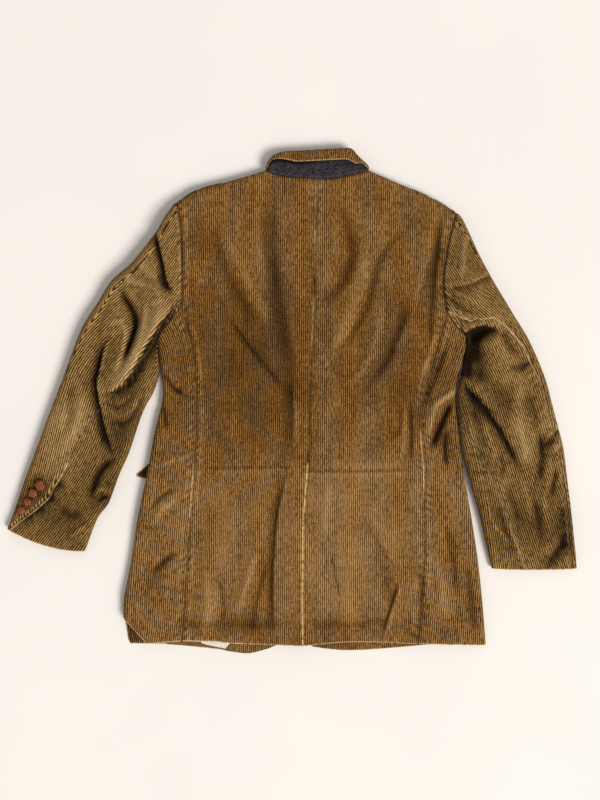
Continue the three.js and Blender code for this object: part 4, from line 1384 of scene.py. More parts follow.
@dataclass
class JacketHalf:
    """Everything on one side of the centre back, on a fine grid."""

    side: Side
    arm_count: int = 72
    seam_count: int = 226
    upper_count: int = 28
    lower_count: int = 18
    shoulder_count: int = 62
    neck_count: int = 32
    sleeve_spacing: float = 2.5
    back: Cloth = field(init=False)
    body: Cloth = field(init=False)
    front: Cloth = field(init=False)
    sleeve: Cloth = field(init=False)
    under_range: tuple = field(init=False)
    top_range: tuple = field(init=False)

    def __post_init__(self) -> None:
        """Lays out the panels in the order in which they share edges."""
        self.is_left = self.side is Side.LEFT
        self.facing = -1.0 if self.is_left else 1.0
        self.arm_shares = steps(self.arm_count) ** 1.4
        self.armhole = SmoothLine(ARMHOLE[self.side]).along(self.arm_shares)
        self._lay_back()
        self._lay_side()
        self._lay_front()
        self._lay_sleeve()
        self._join()

    def _level(self, name: str, y: np.ndarray) -> np.ndarray:
        """Reads this side's column of the level table."""
        return read_level(f"{self.side.value}_{name}", y)

    def _lay_back(self) -> None:
        """Lays out the back between armhole and side seam, shoulder and neck, centre and hem."""
        hem = SmoothLine(HEM[self.side])
        seam_y = blend(self.armhole[-1, 1], hem.at(0.0)[1], steps(self.seam_count))
        self.seam = np.stack([self._level("seam", seam_y), seam_y], -1)
        self.seam[0] = self.armhole[-1]
        self.seam[-1] = hem.at(0.0)
        side_edge = np.vstack([self.armhole, self.seam[1:]])
        self.shoulder = SmoothLine(SHOULDER[self.side]).along(steps(self.shoulder_count))
        neck = SmoothLine(NECK[self.side]).along(steps(self.neck_count))
        top = np.vstack([self.shoulder, neck[1:]])
        across = (top[:, 0] - top[0, 0]) / (top[-1, 0] - top[0, 0])
        centre_y = blend(NECK_Y, HEM_Y, drops_of(side_edge))
        centre = np.stack([read_level("centre", centre_y), centre_y], -1)
        plan = fill_plan(side_edge, centre, top, hem.along(across))
        x, y = plan[..., 0], plan[..., 1]
        self.back = Cloth.ruled(with_height(plan, body_height(x, y, True)), self.facing)
        across_run = np.hypot(np.diff(x, axis=1), np.diff(self.back.points[..., 2], axis=1))
        from_centre = eased_down(np.cumsum(across_run[:, ::-1], axis=1)[:, ::-1], 6) * self.facing
        self.back.grain[:, :-1, 0] = x[:, -1:] + from_centre
        self.back.tone = body_shading_and_wear(x, y)

    def _lay_side(self) -> None:
        """Lays out the side body from the back seam over the folded edge and on underneath."""
        underarm = SmoothLine(UNDERARM[self.side])
        self.upper_shares = np.sin(math.pi / 2 * steps(self.upper_count))
        self.lower_shares = 1 - np.cos(math.pi / 2 * steps(self.lower_count))
        seam_top, edge_top = self.seam[0], underarm.along(1.0)
        low_end = SmoothLine(FRONT_HEM[self.side]).along(0.0)
        v = steps(self.seam_count)
        edge_y = blend(edge_top[1], SIDE_HEM_Y, v)
        edge = np.stack([self._level("edge", edge_y), edge_y], -1)
        edge[0, 0] = edge_top[0]
        low = np.stack([blend(seam_top[0], low_end[0], v ** 1.5), blend(seam_top[1], low_end[1], v)], -1)
        rise = HEM_RISE * smooth(0.8, 1, v) if self.is_left else np.zeros_like(v)
        halves = [self._side_part(self.seam, edge, self.upper_shares, True, underarm, v, rise, edge),
                  self._side_part(edge, low, self.lower_shares, False, underarm, v, rise, edge)]
        points = np.concatenate([halves[0], halves[1][:, 1:]], axis=1)
        self.body = Cloth.ruled(points, -self.facing)
        seam_way = -np.gradient(self.seam, axis=0)
        angles = eased_down(np.degrees(np.arctan2(seam_way[:, 1:], seam_way[:, :1])), 8)[:, 0]
        self.body.grain = self.body.grain_from(0, angles, eased_down(points[..., 2], 12))
        self.body.tone = body_shading_and_wear(points[..., 0], points[..., 1])
        # Painted shade on the lower layer of the left side body, under its folded edge and curled-up hem.
        if self.is_left:
            self.body.tone[:, self.upper_count + 1:] -= 0.8

    def _side_part(self, start: np.ndarray, end: np.ndarray, shares: np.ndarray, upper: bool,
                   underarm: SmoothLine, v: np.ndarray, rise: np.ndarray, edge: np.ndarray) -> np.ndarray:
        """Lays out the upper or lower part of the side body.

        Args:
            start: Points down the line it starts from.
            end: Points down the line it ends at.
            shares: Shares from start to end.
            upper: Whether it is the upper part.
            underarm: The armhole's line under the arm.
            v: Shares down the panel.
            rise: How far the hem rises at the folded edge.
            edge: Points down the folded edge.

        Returns:
            Rows and columns of points.
        """
        plan = blend(start[:, None], end[:, None], shares[None, :, None])
        turn = shares if upper else 1 - shares
        chord = blend(self.seam[0], underarm.along(1.0), turn[:, None])
        bow = underarm.along(turn) - chord
        plan = plan + bow[None] * ((1 - v) ** 3)[:, None, None]
        ramp = np.clip((shares - 0.6) / 0.4, 0, 1) if upper else 1 - smooth(0, 0.12, shares)
        plan[..., 1] += rise[:, None] * ramp[None]
        x, y = plan[..., 0], plan[..., 1]
        ceiling, floor = back_top(x, y), front_level(y)
        half = (ceiling - floor) / 2
        reach = np.abs(x - edge[:, :1])
        turned = quarter_round(reach / half)
        return with_height(plan, (ceiling + floor) / 2 + (half if upper else -half) * turned)

    def _lay_front(self) -> None:
        """Lays out the front beneath, from the same armhole line to its own edge."""
        low_seam = self.body.points[:, -1, :2]
        side_edge = np.vstack([self.armhole, low_seam[1:]])
        hem = SmoothLine(FRONT_HEM[self.side])
        share = (self.shoulder[:, 0] - self.shoulder[0, 0]) / (self.shoulder[-1, 0] - self.shoulder[0, 0])
        edge = SmoothLine(FRONT_EDGE[self.side]).along(drops_of(side_edge))
        plan = fill_plan(side_edge, edge, self.shoulder, hem.along(share))
        x, y = plan[..., 0], plan[..., 1]
        lift = 0.0 if self.is_left else OVERLAP_LIFT * (1 - smooth(52, 78, x)) * (1 - smooth(80, 150, y))
        self.front = Cloth.ruled(with_height(plan, body_height(x, y, False, lift)), -self.facing)

    def _row_value(self, column: int, station: np.ndarray) -> np.ndarray:
        """Reads a column of the sleeve table between its rows."""
        values = SLEEVES[self.side].rows[:, column]
        k = np.minimum(len(values) - 2, np.floor(station).astype(int))
        t = station - k
        return blend(values[k], values[k + 1], smooth(0, 1, t) * 0.5 + t * 0.5)

    def _ring_marks(self) -> np.ndarray:
        """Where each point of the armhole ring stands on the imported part's coarser ring."""
        marks = np.interp(self.arm_shares, CAD_ARM_SHARES, np.arange(len(CAD_ARM_SHARES)))
        padded = np.concatenate([2 * marks[0] - marks[6:0:-1], marks, 2 * marks[-1] - marks[-2:-8:-1]])
        eased = np.convolve(padded, np.ones(13) / 13, mode="valid")
        eased[0], eased[-1] = marks[0], marks[-1]
        split = float(len(CAD_ARM_SHARES) - 1)
        upper = split + CAD_UPPER * steps(self.upper_count)[1:]
        lower = split + CAD_UPPER + CAD_LOWER * steps(self.lower_count)[1:]
        front = split * 2 + CAD_UPPER + CAD_LOWER - eased[1:-1][::-1]
        return np.concatenate([eased, upper, lower, front])

    def _turns(self, marks: np.ndarray, station: np.ndarray) -> np.ndarray:
        """How far round the flattened sleeve each point lies, from 0 at its outer edge.

        Args:
            marks: Places on the armhole ring.
            station: Places down the sleeve.

        Returns:
            Turns from 0 to 1, a row for each station.
        """
        split = len(CAD_ARM_SHARES) - 1
        under_end = split + CAD_UPPER + CAD_LOWER
        ring = under_end + split
        hind = turn_at(self._row_value(5, station))[:, None]
        fore = turn_at(self._row_value(6, station))[:, None]
        k = marks[None]
        beneath = blend(hind, fore, (k - split) / (under_end - split))
        passed = (k - under_end + ring) % ring
        above = blend(fore, 1 + hind, passed / (ring - under_end + split)) % 1
        return np.where((k >= split) & (k <= under_end), beneath, above)

    def _stations(self, outer: SmoothLine, inner: SmoothLine, last: int) -> np.ndarray:
        """Spaces the sleeve's rows evenly, and notes how far down its outer line each lies.

        Args:
            outer: The sleeve's outer line.
            inner: Its inner line.
            last: Number of its table's last row.

        Returns:
            The place of each row in the sleeve table.
        """
        fine = np.linspace(0, last, 1200)
        outer_points = outer.at(fine / last)
        middle = (outer_points + inner.at(fine / last)) / 2
        outer_run = np.linalg.norm(np.diff(outer_points, axis=0), axis=1)
        run = np.linalg.norm(np.diff(middle, axis=0), axis=1) * 0.5 + outer_run * 0.5
        passed = np.concatenate([[0], np.cumsum(run)])
        rows = int(passed[-1] / self.sleeve_spacing)
        station = np.interp(np.linspace(0, passed[-1], rows + 1), passed, fine)
        self.sleeve_down = np.interp(station, fine, np.concatenate([[0], np.cumsum(outer_run)]))
        return station

    def _sleeve_plan(self, outer: SmoothLine, inner: SmoothLine, ring: np.ndarray, station: np.ndarray,
                     reach: np.ndarray, keep: np.ndarray) -> tuple:
        """Lays the sleeve out in plan.

        Args:
            outer: The sleeve's outer line.
            inner: Its inner line.
            ring: Points round the armhole.
            station: Places down the sleeve.
            reach: Share of the way from its outer to its inner line, for each point.
            keep: How far each row still follows the armhole.

        Returns:
            Points in plan, and the width of each row.
        """
        table = SLEEVES[self.side]
        last = len(table.rows) - 1
        start_line, end_line = outer.at(station / last), inner.at(station / last)
        straight = blend(start_line[:1], end_line[:1], reach[0][:, None])
        plan = blend(start_line[:, None], end_line[:, None], reach[..., None])
        plan = plan + (ring[None, :, :2] - straight[None]) * keep[:, None, None]
        outer_drop, bow, inner_drop = table.hem_drops
        drop = blend(outer_drop, inner_drop, reach) + 4 * bow * reach * (1 - reach)
        plan[..., 1] -= drop * smooth(last - 1.3, last, station)[:, None]
        return plan, np.linalg.norm(end_line - start_line, axis=1)[:, None]

    def _sleeve_shading_and_wear(self, x: np.ndarray, y: np.ndarray) -> np.ndarray:
        """The sleeve's painted shade and highlight from its folds, its patches of lighter nap and painted
        shade, and the painted shadow round its buttons.
        """
        table = SLEEVES[self.side]
        # Painted shadow round each cuff button.
        shades = [(cx, cy, 1.5 * radius, -0.9) for cx, cy, radius in BUTTON_SEATS[self.side]]
        tone = fold_shading(table.folds, x, y, 8.0) + fold_shading(table.small_folds, x, y, 3.8)
        return tone + patches_at(table.patches + shades, x, y)

    def _lay_sleeve(self) -> None:
        """Lays out the sleeve as a closed grid that starts on the armhole ring."""
        table = SLEEVES[self.side]
        split = self.arm_count
        under_end = split + self.upper_count + self.lower_count
        ring = np.vstack([self.back.points[:split + 1, 0], self.body.points[0, 1:],
                          self.front.points[1:split, 0][::-1]])
        marks = self._ring_marks()
        outer, inner = SmoothLine(table.rows[:, :2]), SmoothLine(table.rows[:, 2:4])
        station = self._stations(outer, inner, len(table.rows) - 1)
        keep = np.maximum(0, 1 - np.maximum(0, station - 1) / 2.5) ** 2
        turn = self._turns(marks, station)
        reach = (1 - np.cos(2 * math.pi * turn)) / 2
        plan, width = self._sleeve_plan(outer, inner, ring, station, reach, keep)
        x, y = plan[..., 0], plan[..., 1]
        away = smooth(0, 2.2, station)[:, None]
        plain_top = self._row_value(4, station)[:, None]
        lowest = FRONT_ON_FLOOR + fold_height(table.lift, x, y)
        small = fold_height(table.small_folds, x, y) + 0.8 * ripple(x * 1.2, y * 1.2)
        highest = plain_top + fold_height(table.folds, x, y) + small * away
        half = (highest - lowest) / 2
        rim = np.minimum(reach, 1 - reach) * width
        own = (highest + lowest) / 2 + np.where(turn < 0.5, half, -half) * quarter_round(rim / half)
        hold = np.clip(keep * 0.5 + 0.5 * (1 - smooth(0, 1, station)), 0, 1)[:, None]
        points = with_height(plan, blend(own, ring[None, :, 2], hold))
        points[0] = ring
        self.sleeve = Cloth.ruled(points, self.facing, closed=True)
        self.sleeve.tone = self._sleeve_shading_and_wear(x, y)
        self.under_range = (split, under_end)
        self.top_range = (under_end, len(marks) + split)
        plain = (plain_top - FRONT_ON_FLOOR) / 2
        level = np.where(turn < 0.5, plain, -plain) * quarter_round(rim / plain)
        self.sleeve_level = blend(level, 0.0, hold)

    def _join(self) -> None:
        """Shares facing directions along every seam of this side."""
        split, under_end = self.under_range
        count = self.sleeve.points.shape[1]
        arm = np.arange(split + 1)
        beneath = np.arange(1, under_end - split + 1)
        zeros = np.zeros_like
        share_normals(self.sleeve, (zeros(arm), arm), self.back, (arm, zeros(arm)))
        share_normals(self.sleeve, (zeros(beneath), split + beneath), self.body, (zeros(beneath), beneath))
        ahead = np.arange(1, split)
        share_normals(self.sleeve, (zeros(ahead), count - ahead), self.front, (ahead, zeros(ahead)))
        seam = np.arange(self.seam_count + 1)
        share_normals(self.back, (split + seam, zeros(seam)), self.body, (seam, zeros(seam)))
        low_end = zeros(seam) + under_end - split
        share_normals(self.front, (split + seam, zeros(seam)), self.body, (seam, low_end))
        top = np.arange(self.shoulder_count + 1)
        share_normals(self.back, (zeros(top), top), self.front, (zeros(top), top))

    def sleeve_piece(self, top: bool) -> Cloth:
        """The top or under sleeve, with its grain turned as it is cut.

        Args:
            top: Whether it is the top sleeve.

        Returns:
            The panel.
        """
        table = SLEEVES[self.side]
        rows = self.sleeve.points.shape[0]
        first, last = self.top_range if top else self.under_range
        piece = self.sleeve.part((0, rows - 1), (first, last))
        wales = table.top_wales if top else table.under_wales
        angles = np.interp(self.sleeve_down, *zip(*wales))
        level = self.sleeve_level[:, np.arange(first, last + 1) % self.sleeve.points.shape[1]]
        piece.grain = piece.grain_from(0, angles, level)
        if top:
            hind = smooth(0.3, 0.6, steps(last - first))[None, :, None]
            piece.grain = blend(piece.grain, piece.grain_from(-1, angles, level), hind)
        return piece


@dataclass
class Dresser:
    """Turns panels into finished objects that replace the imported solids."""

    finishes: dict
    made: dict = field(default_factory=dict)

    def sheet(self, name: str, cloth: Cloth, slot: str, flat: tuple, area: float, held: str = "laid",
              wall: float = WALL, rests_on: tuple = (), **options: object) -> bpy.types.Object:
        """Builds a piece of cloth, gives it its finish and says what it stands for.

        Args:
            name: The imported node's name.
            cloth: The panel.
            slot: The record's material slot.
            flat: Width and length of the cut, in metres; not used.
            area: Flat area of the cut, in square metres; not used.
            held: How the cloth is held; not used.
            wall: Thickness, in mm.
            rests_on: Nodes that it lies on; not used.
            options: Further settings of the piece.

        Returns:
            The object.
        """
        made = Piece(name, cloth, wall=wall, **options).build()
        self.dress(made, name, slot)
        LOG.info("%s: %d faces", made.name, len(made.data.polygons))
        return made

    def dress(self, made: bpy.types.Object, name: str, slot: str) -> None:
        """Gives a piece its material, body, node and slot."""
        made.data.materials.clear()
        made.data.materials.append(self.finishes[slot])
        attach(made, "root")
        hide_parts(name)
        self.made[name] = made


@dataclass
class Body:
    """Back, side bodies, fronts and the vent's underlay."""

    halves: dict
    back_cut: tuple = (0.228, 0.766)
    back_area: float = 0.150
    side_cut: tuple = (0.165, 0.560)
    side_area: float = 0.066
    front_cut: tuple = (0.265, 0.795)
    front_area: float = 0.158
    underlay_cut: tuple = (0.065, 0.30)
    underlay_area: float = 0.0185
    underlay_columns: int = 19
    beyond_columns: int = 6

    def build(self, dresser: Dresser) -> None:
        """Builds the body's pieces.

        Args:
            dresser: Makes and dresses them.
        """
        left, right = self.halves[Side.LEFT], self.halves[Side.RIGHT]
        rows = np.arange(left.back.points.shape[0])
        last = np.full_like(rows, left.back.points.shape[1] - 1)
        share_normals(left.back, (rows, last), right.back, (rows, last))
        self._underlay(dresser, left.back, right.back)
        for side, half in self.halves.items():
            vent_wear = self._vent_wear(half.back.points[..., 1])
            hem_wear = 0.5 + 0.5 * smooth(-60, -110, half.back.points[..., 0])
            seam_wear = self._seam_wear(side, half.back, 0.75)
            half.back.wear_edges({Edge.FIRST: seam_wear, Edge.LAST: vent_wear, Edge.END: hem_wear})
            self._back(dresser, side, half)
            half.body.wear_edges({Edge.FIRST: self._seam_wear(side, half.body, 0.5), Edge.END: 0.8})
            half.body.sink_seams([Edge.FIRST], 0.9, 0.6, 0.45, allowance=0.5)
            dresser.sheet(f"side_{side.value}", half.body, "corduroy_side", self.side_cut, self.side_area,
                          "folded")
            half.front.wear_edges({Edge.END: 0.6, Edge.LAST: 0.5})
            dresser.sheet(f"front_{side.value}", half.front, "corduroy_front", self.front_cut,
                          self.front_area)

    def _seam_wear(self, side: Side, cloth: Cloth, most: float) -> np.ndarray:
        """How far the seam between back and side body is rubbed, at each point of a panel."""
        y = cloth.points[..., 1]
        start, end = SEAM_WEAR_SPAN[side]
        return most * smooth(start, start - 30, y) * smooth(end, end + 40, y) + LEAST_WEAR

    def _vent_wear(self, y: np.ndarray) -> np.ndarray:
        """How far the centre back is rubbed: in spots, and all along the vent's edge."""
        wear = 0.06 + 0.9 * smooth(VENT_TOP + 6, VENT_TOP - 12, y)
        for level, size in CENTRE_WEAR_SPOTS:
            wear = wear + 0.38 * np.exp(-(((y - level) / size) ** 2))
        return wear

    def _back(self, dresser: Dresser, side: Side, half: JacketHalf) -> None:
        """Builds one back, with the vent's edges below its top."""
        back = half.back
        seams = Cloth(*back.grids())
        y = back.points[..., 1]
        d = back.distances()[Edge.LAST]
        seams.sink_seams([Edge.FIRST], 0.8, 0.45, 0.45, allowance=0.5)
        seams.sink_seams([Edge.LAST], 0.8, 0.18, 0.5)
        seams.sink_seams([Edge.START], 0.8, 0.2, 0.8)
        below = 1 - smooth(VENT_TOP - 25, VENT_TOP + 10, y)
        lift = np.where(side is Side.LEFT, 1.3, -0.7) * np.exp(-((d / 9) ** 2)) * below
        seams.points = seams.points + np.array([0, 0, 1.0]) * lift[..., None]
        dresser.sheet(f"back_{side.value}", seams, "corduroy_back", self.back_cut, self.back_area)

    def _underlay(self, dresser: Dresser, left: Cloth, right: Cloth) -> None:
        """Builds the part of the right back that runs on under the left one at the vent."""
        last = left.points.shape[1] - 1
        first = int(np.argmax(left.points[:, last, 1] < VENT_TOP))
        rows = left.points.shape[0] - 1
        under = left.part((first, rows), (last - self.underlay_columns, last))
        beyond = right.part((first, rows), (last - self.beyond_columns, last - 1))
        joined = Cloth(*(np.concatenate([a, b[:, ::-1]], axis=1)
                         for a, b in zip(under.grids(), beyond.grids())))
        dresser.sheet("vent_underlay", joined.moved(-(WALL + LAYER_GAP)), "corduroy_inside",
                      self.underlay_cut, self.underlay_area, rests_on=("front_left",))


@dataclass
class Sleeves:
    """Two-piece sleeves on both sides."""

    halves: dict
    top_cut: tuple = (0.205, 0.625)
    top_area: float = 0.100
    under_cut: tuple = (0.125, 0.480)
    under_area: float = 0.045

    def build(self, dresser: Dresser) -> None:
        """Builds the four sleeve pieces.

        Args:
            dresser: Makes and dresses them.
        """
        for side, half in self.halves.items():
            for top in (True, False):
                piece = half.sleeve_piece(top)
                y = piece.points[..., 1]
                hind = np.interp(y, *zip(*SLEEVES[side].hind_wear))
                fore = np.interp(y, *zip(*SLEEVES[side].fore_wear))
                first, last = (fore, hind) if top else (hind, fore)
                piece.wear_edges({Edge.FIRST: first, Edge.LAST: last, Edge.END: 0.8})
                piece.sink_seams([Edge.FIRST, Edge.LAST], 0.8, 0.6, 0.3)
                piece.sink_seams([Edge.START], 0.8, 0.7, 1.1, allowance=0.7, inset=6.0)
                name = f"sleeve_{'top' if top else 'under'}_{side.value}"
                cut = (self.top_cut, self.top_area) if top else (self.under_cut, self.under_area)
                dresser.sheet(name, piece, "corduroy_sleeve", *cut, "folded")


@dataclass
class Collar:
    """Felt undercollar, and the top collar whose edge is folded back over it."""

    halves: dict
    felt_rows: int = 12
    felt_cut: tuple = (0.185, 0.036)
    felt_area: float = 0.0055
    top_cut: tuple = (0.20, 0.075)
    top_area: float = 0.0105
    # Width and depth of the painted shadow on the felt under the top collar's edge.
    gap_width: float = 4.5
    gap_shade: float = -1.8
    fall_rows: int = 6
    roll_rows: int = 10
    strip_rows: int = 7

    def build(self, dresser: Dresser) -> None:
        """Builds both parts of the collar.

        Args:
            dresser: Makes and dresses them.
        """
        left, right = self.halves[Side.LEFT], self.halves[Side.RIGHT]
        first = left.shoulder_count
        line = np.vstack([left.back.points[0, first:], right.back.points[0, first:-1][::-1]])
        self.line = line
        count = len(line) - 1
        self.roll = SmoothLine(COLLAR_ROLL).along(steps(count))
        away = line[:, :2] - self.roll
        self.length = np.linalg.norm(away, axis=1)
        self.inward = away / self.length[:, None]
        self.radius = np.minimum(ROLL_RADIUS, self.length * 0.3)
        reaches = blend(self.length, self.radius + 0.6, steps(self.felt_rows)[:, None])
        felt = Cloth.ruled(self._at(reaches), 1.0)
        left_part = np.arange(left.neck_count + 1)
        right_part = np.arange(left.neck_count + 1, count + 1)
        for part, half, place in ((left_part, left, left_part), (right_part, right, count - right_part)):
            top = np.zeros_like(part)
            share_normals(felt, (top, part), half.back, (top, first + place))
        felt.wear_edges({Edge.START: 0.3})
        # Painted shadow on the felt along the top collar's edge, deepest towards the left end.
        share = steps(count)[None]
        gap = reaches - np.interp(share, *zip(*STRIP_WIDTHS))
        deep = self.gap_shade * (1 - 0.7 * smooth(0.3, 0.6, share))
        felt.tone = deep * np.exp(-((gap / self.gap_width) ** 2))
        dresser.sheet("undercollar", felt, "felt", self.felt_cut, self.felt_area, wall=FELT_WALL)
        self._top(dresser)

    def _at(self, reach: np.ndarray, rise: np.ndarray | float = 0.0) -> np.ndarray:
        """Points at distances in from the roll, a row for each distance."""
        plan = self.roll[None] + self.inward[None] * reach[..., None]
        height = self.line[None, :, 2] + COLLAR_RISE * (1 - reach / self.length[None]) + rise
        return with_height(plan, height)

    def _top(self, dresser: Dresser) -> None:
        """Builds the top collar: under the felt, round the roll and back over its edge."""
        rise = (WALL + FELT_WALL) / 2 + LAYER_GAP + 0.2
        share = steps(len(self.line) - 1)
        width = np.interp(share, *zip(*STRIP_WIDTHS))
        start = self.length - 0.9
        rows = [(blend(start, self.radius, t), -1.0) for t in steps(self.fall_rows)[:-1]]
        turns = np.linspace(-math.pi / 2, math.pi / 2, self.roll_rows + 1)
        rows += [(self.radius * (1 - math.cos(a)), math.sin(a)) for a in turns]
        rows += [(blend(self.radius, width, t), 1 + 0.4 * math.sin(math.pi * t * 0.62))
                 for t in steps(self.strip_rows)[1:]]
        reaches = np.stack([reach for reach, _ in rows])
        rises = np.array([level * rise for _, level in rows])[:, None]
        top = Cloth.ruled(self._at(reaches, rises), -1.0)
        down, over = top.lengths(0), top.lengths(1)
        top.grain = np.stack([np.broadcast_to(over[-4:-3], over.shape), down], -1)
        top.wear_edges({Edge.END: 0.45})
        dresser.sheet("top_collar", top, "corduroy_back", self.top_cut, self.top_area, held="folded",
                      rests_on=("undercollar",))


@dataclass
class Inside:
    """Lapels, pocket flaps and what shows inside the hem of the fronts."""

    halves: dict
    slant: float = 58.0
    lining_end: float = 0.57
    lapel_cut: tuple = (0.09, 0.40)
    lapel_area: float = 0.0175
    flap_cut: tuple = (0.155, 0.052)
    flap_area: float = 0.0068
    flap_shade: float = -1.1
    corner_reach: float = 0.06
    corner_cut: float = 0.08

    def build(self, dresser: Dresser) -> None:
        """Builds the pieces under the fronts and inside their hems.

        Args:
            dresser: Makes and dresses them.
        """
        for side in Side:
            self._lapel(dresser, side)
            self._flap(dresser, side)
        self._hem(dresser)

    def _lapel(self, dresser: Dresser, side: Side) -> None:
        """Builds a lapel folded out under its front along the roll line."""
        outward = -1.0 if side is Side.LEFT else 1.0
        t = steps(48)
        start = SmoothLine(FRONT_EDGE[side]).along(blend(0.02, LAPEL_END[side], t))
        width = np.interp(t, *zip(*LAPEL_WIDTHS))
        u = steps(12)
        x = start[:, :1] + outward * (2 + width[:, None] * u[None])
        y = np.broadcast_to(start[:, 1:], x.shape)
        points = np.stack([x, y, np.full_like(x, FRONT_ON_FLOOR)], -1)
        lapel = Cloth.ruled(points, outward)
        lapel.wear_edges({Edge.LAST: 0.5})
        dresser.sheet(f"lapel_{side.value}", lapel, "corduroy_front", self.lapel_cut, self.lapel_area,
                      held="folded")

    def _flap(self, dresser: Dresser, side: Side) -> None:
        """Builds a pocket flap under its front, its rear corners rounded off, darkened all over with painted
        shade.
        """
        rear_top, rear_bottom, front_bottom, front_top = (np.array(p, float) for p in FLAPS[side])
        t = steps(40) ** 1.6
        u = steps(12)
        upper = blend(rear_top, front_top, t[:, None])
        lower = blend(rear_bottom, front_bottom, t[:, None])
        cut = (1 - quarter_round(t / self.corner_reach)) * self.corner_cut
        inner = blend(cut[:, None] * 0.3, 1 - cut[:, None], u[None])
        plan = blend(upper[:, None], lower[:, None], inner[..., None])
        flap = Cloth.ruled(with_height(plan, np.full_like(plan[..., 0], FRONT_ON_FLOOR)), -1.0)
        # Painted shade: the whole flap is darkened, as it lies under the front.
        flap.tone = flap.tone + self.flap_shade
        flap.wear_edges({Edge.START: 0.9, Edge.LAST: 0.9})
        dresser.sheet(f"flap_{side.value}", flap, "corduroy_front", self.flap_cut, self.flap_area)

    def _hem(self, dresser: Dresser) -> None:
        """Builds the turn-up, lining and facing that show inside the left hem."""
        front = self.halves[Side.LEFT].front
        last = front.points.shape[0] - 1
        columns = front.points.shape[1] - 1
        bounds = [0, columns // 3, round(columns * self.lining_end), columns]
        strips = [("turnup_left", 15, (0, 1), "corduroy_inside", (0.050, 0.040), 0.0017),
                  ("lining_left", 30, (1, 0), "lining", (0.060, 0.082), 0.0045),
                  ("facing_left", 15, (0, 0), "corduroy_inside", (0.050, 0.040), 0.0017)]
        for k, (name, depth, slants, slot, flat, area) in enumerate(strips):
            strip = front.part((last - depth, last), (bounds[k], bounds[k + 1]))
            slant = self.slant * blend(*slants, steps(strip.points.shape[1] - 1)[None])
            strip.points[..., 0] += slant * smooth(-394, -410, strip.points[..., 1])
            inside = strip.moved(-(WALL / 2 + LAYER_GAP + THIN_WALL / 2))
            dresser.sheet(name, inside, slot, flat, area, wall=THIN_WALL, rests_on=("front_left",))


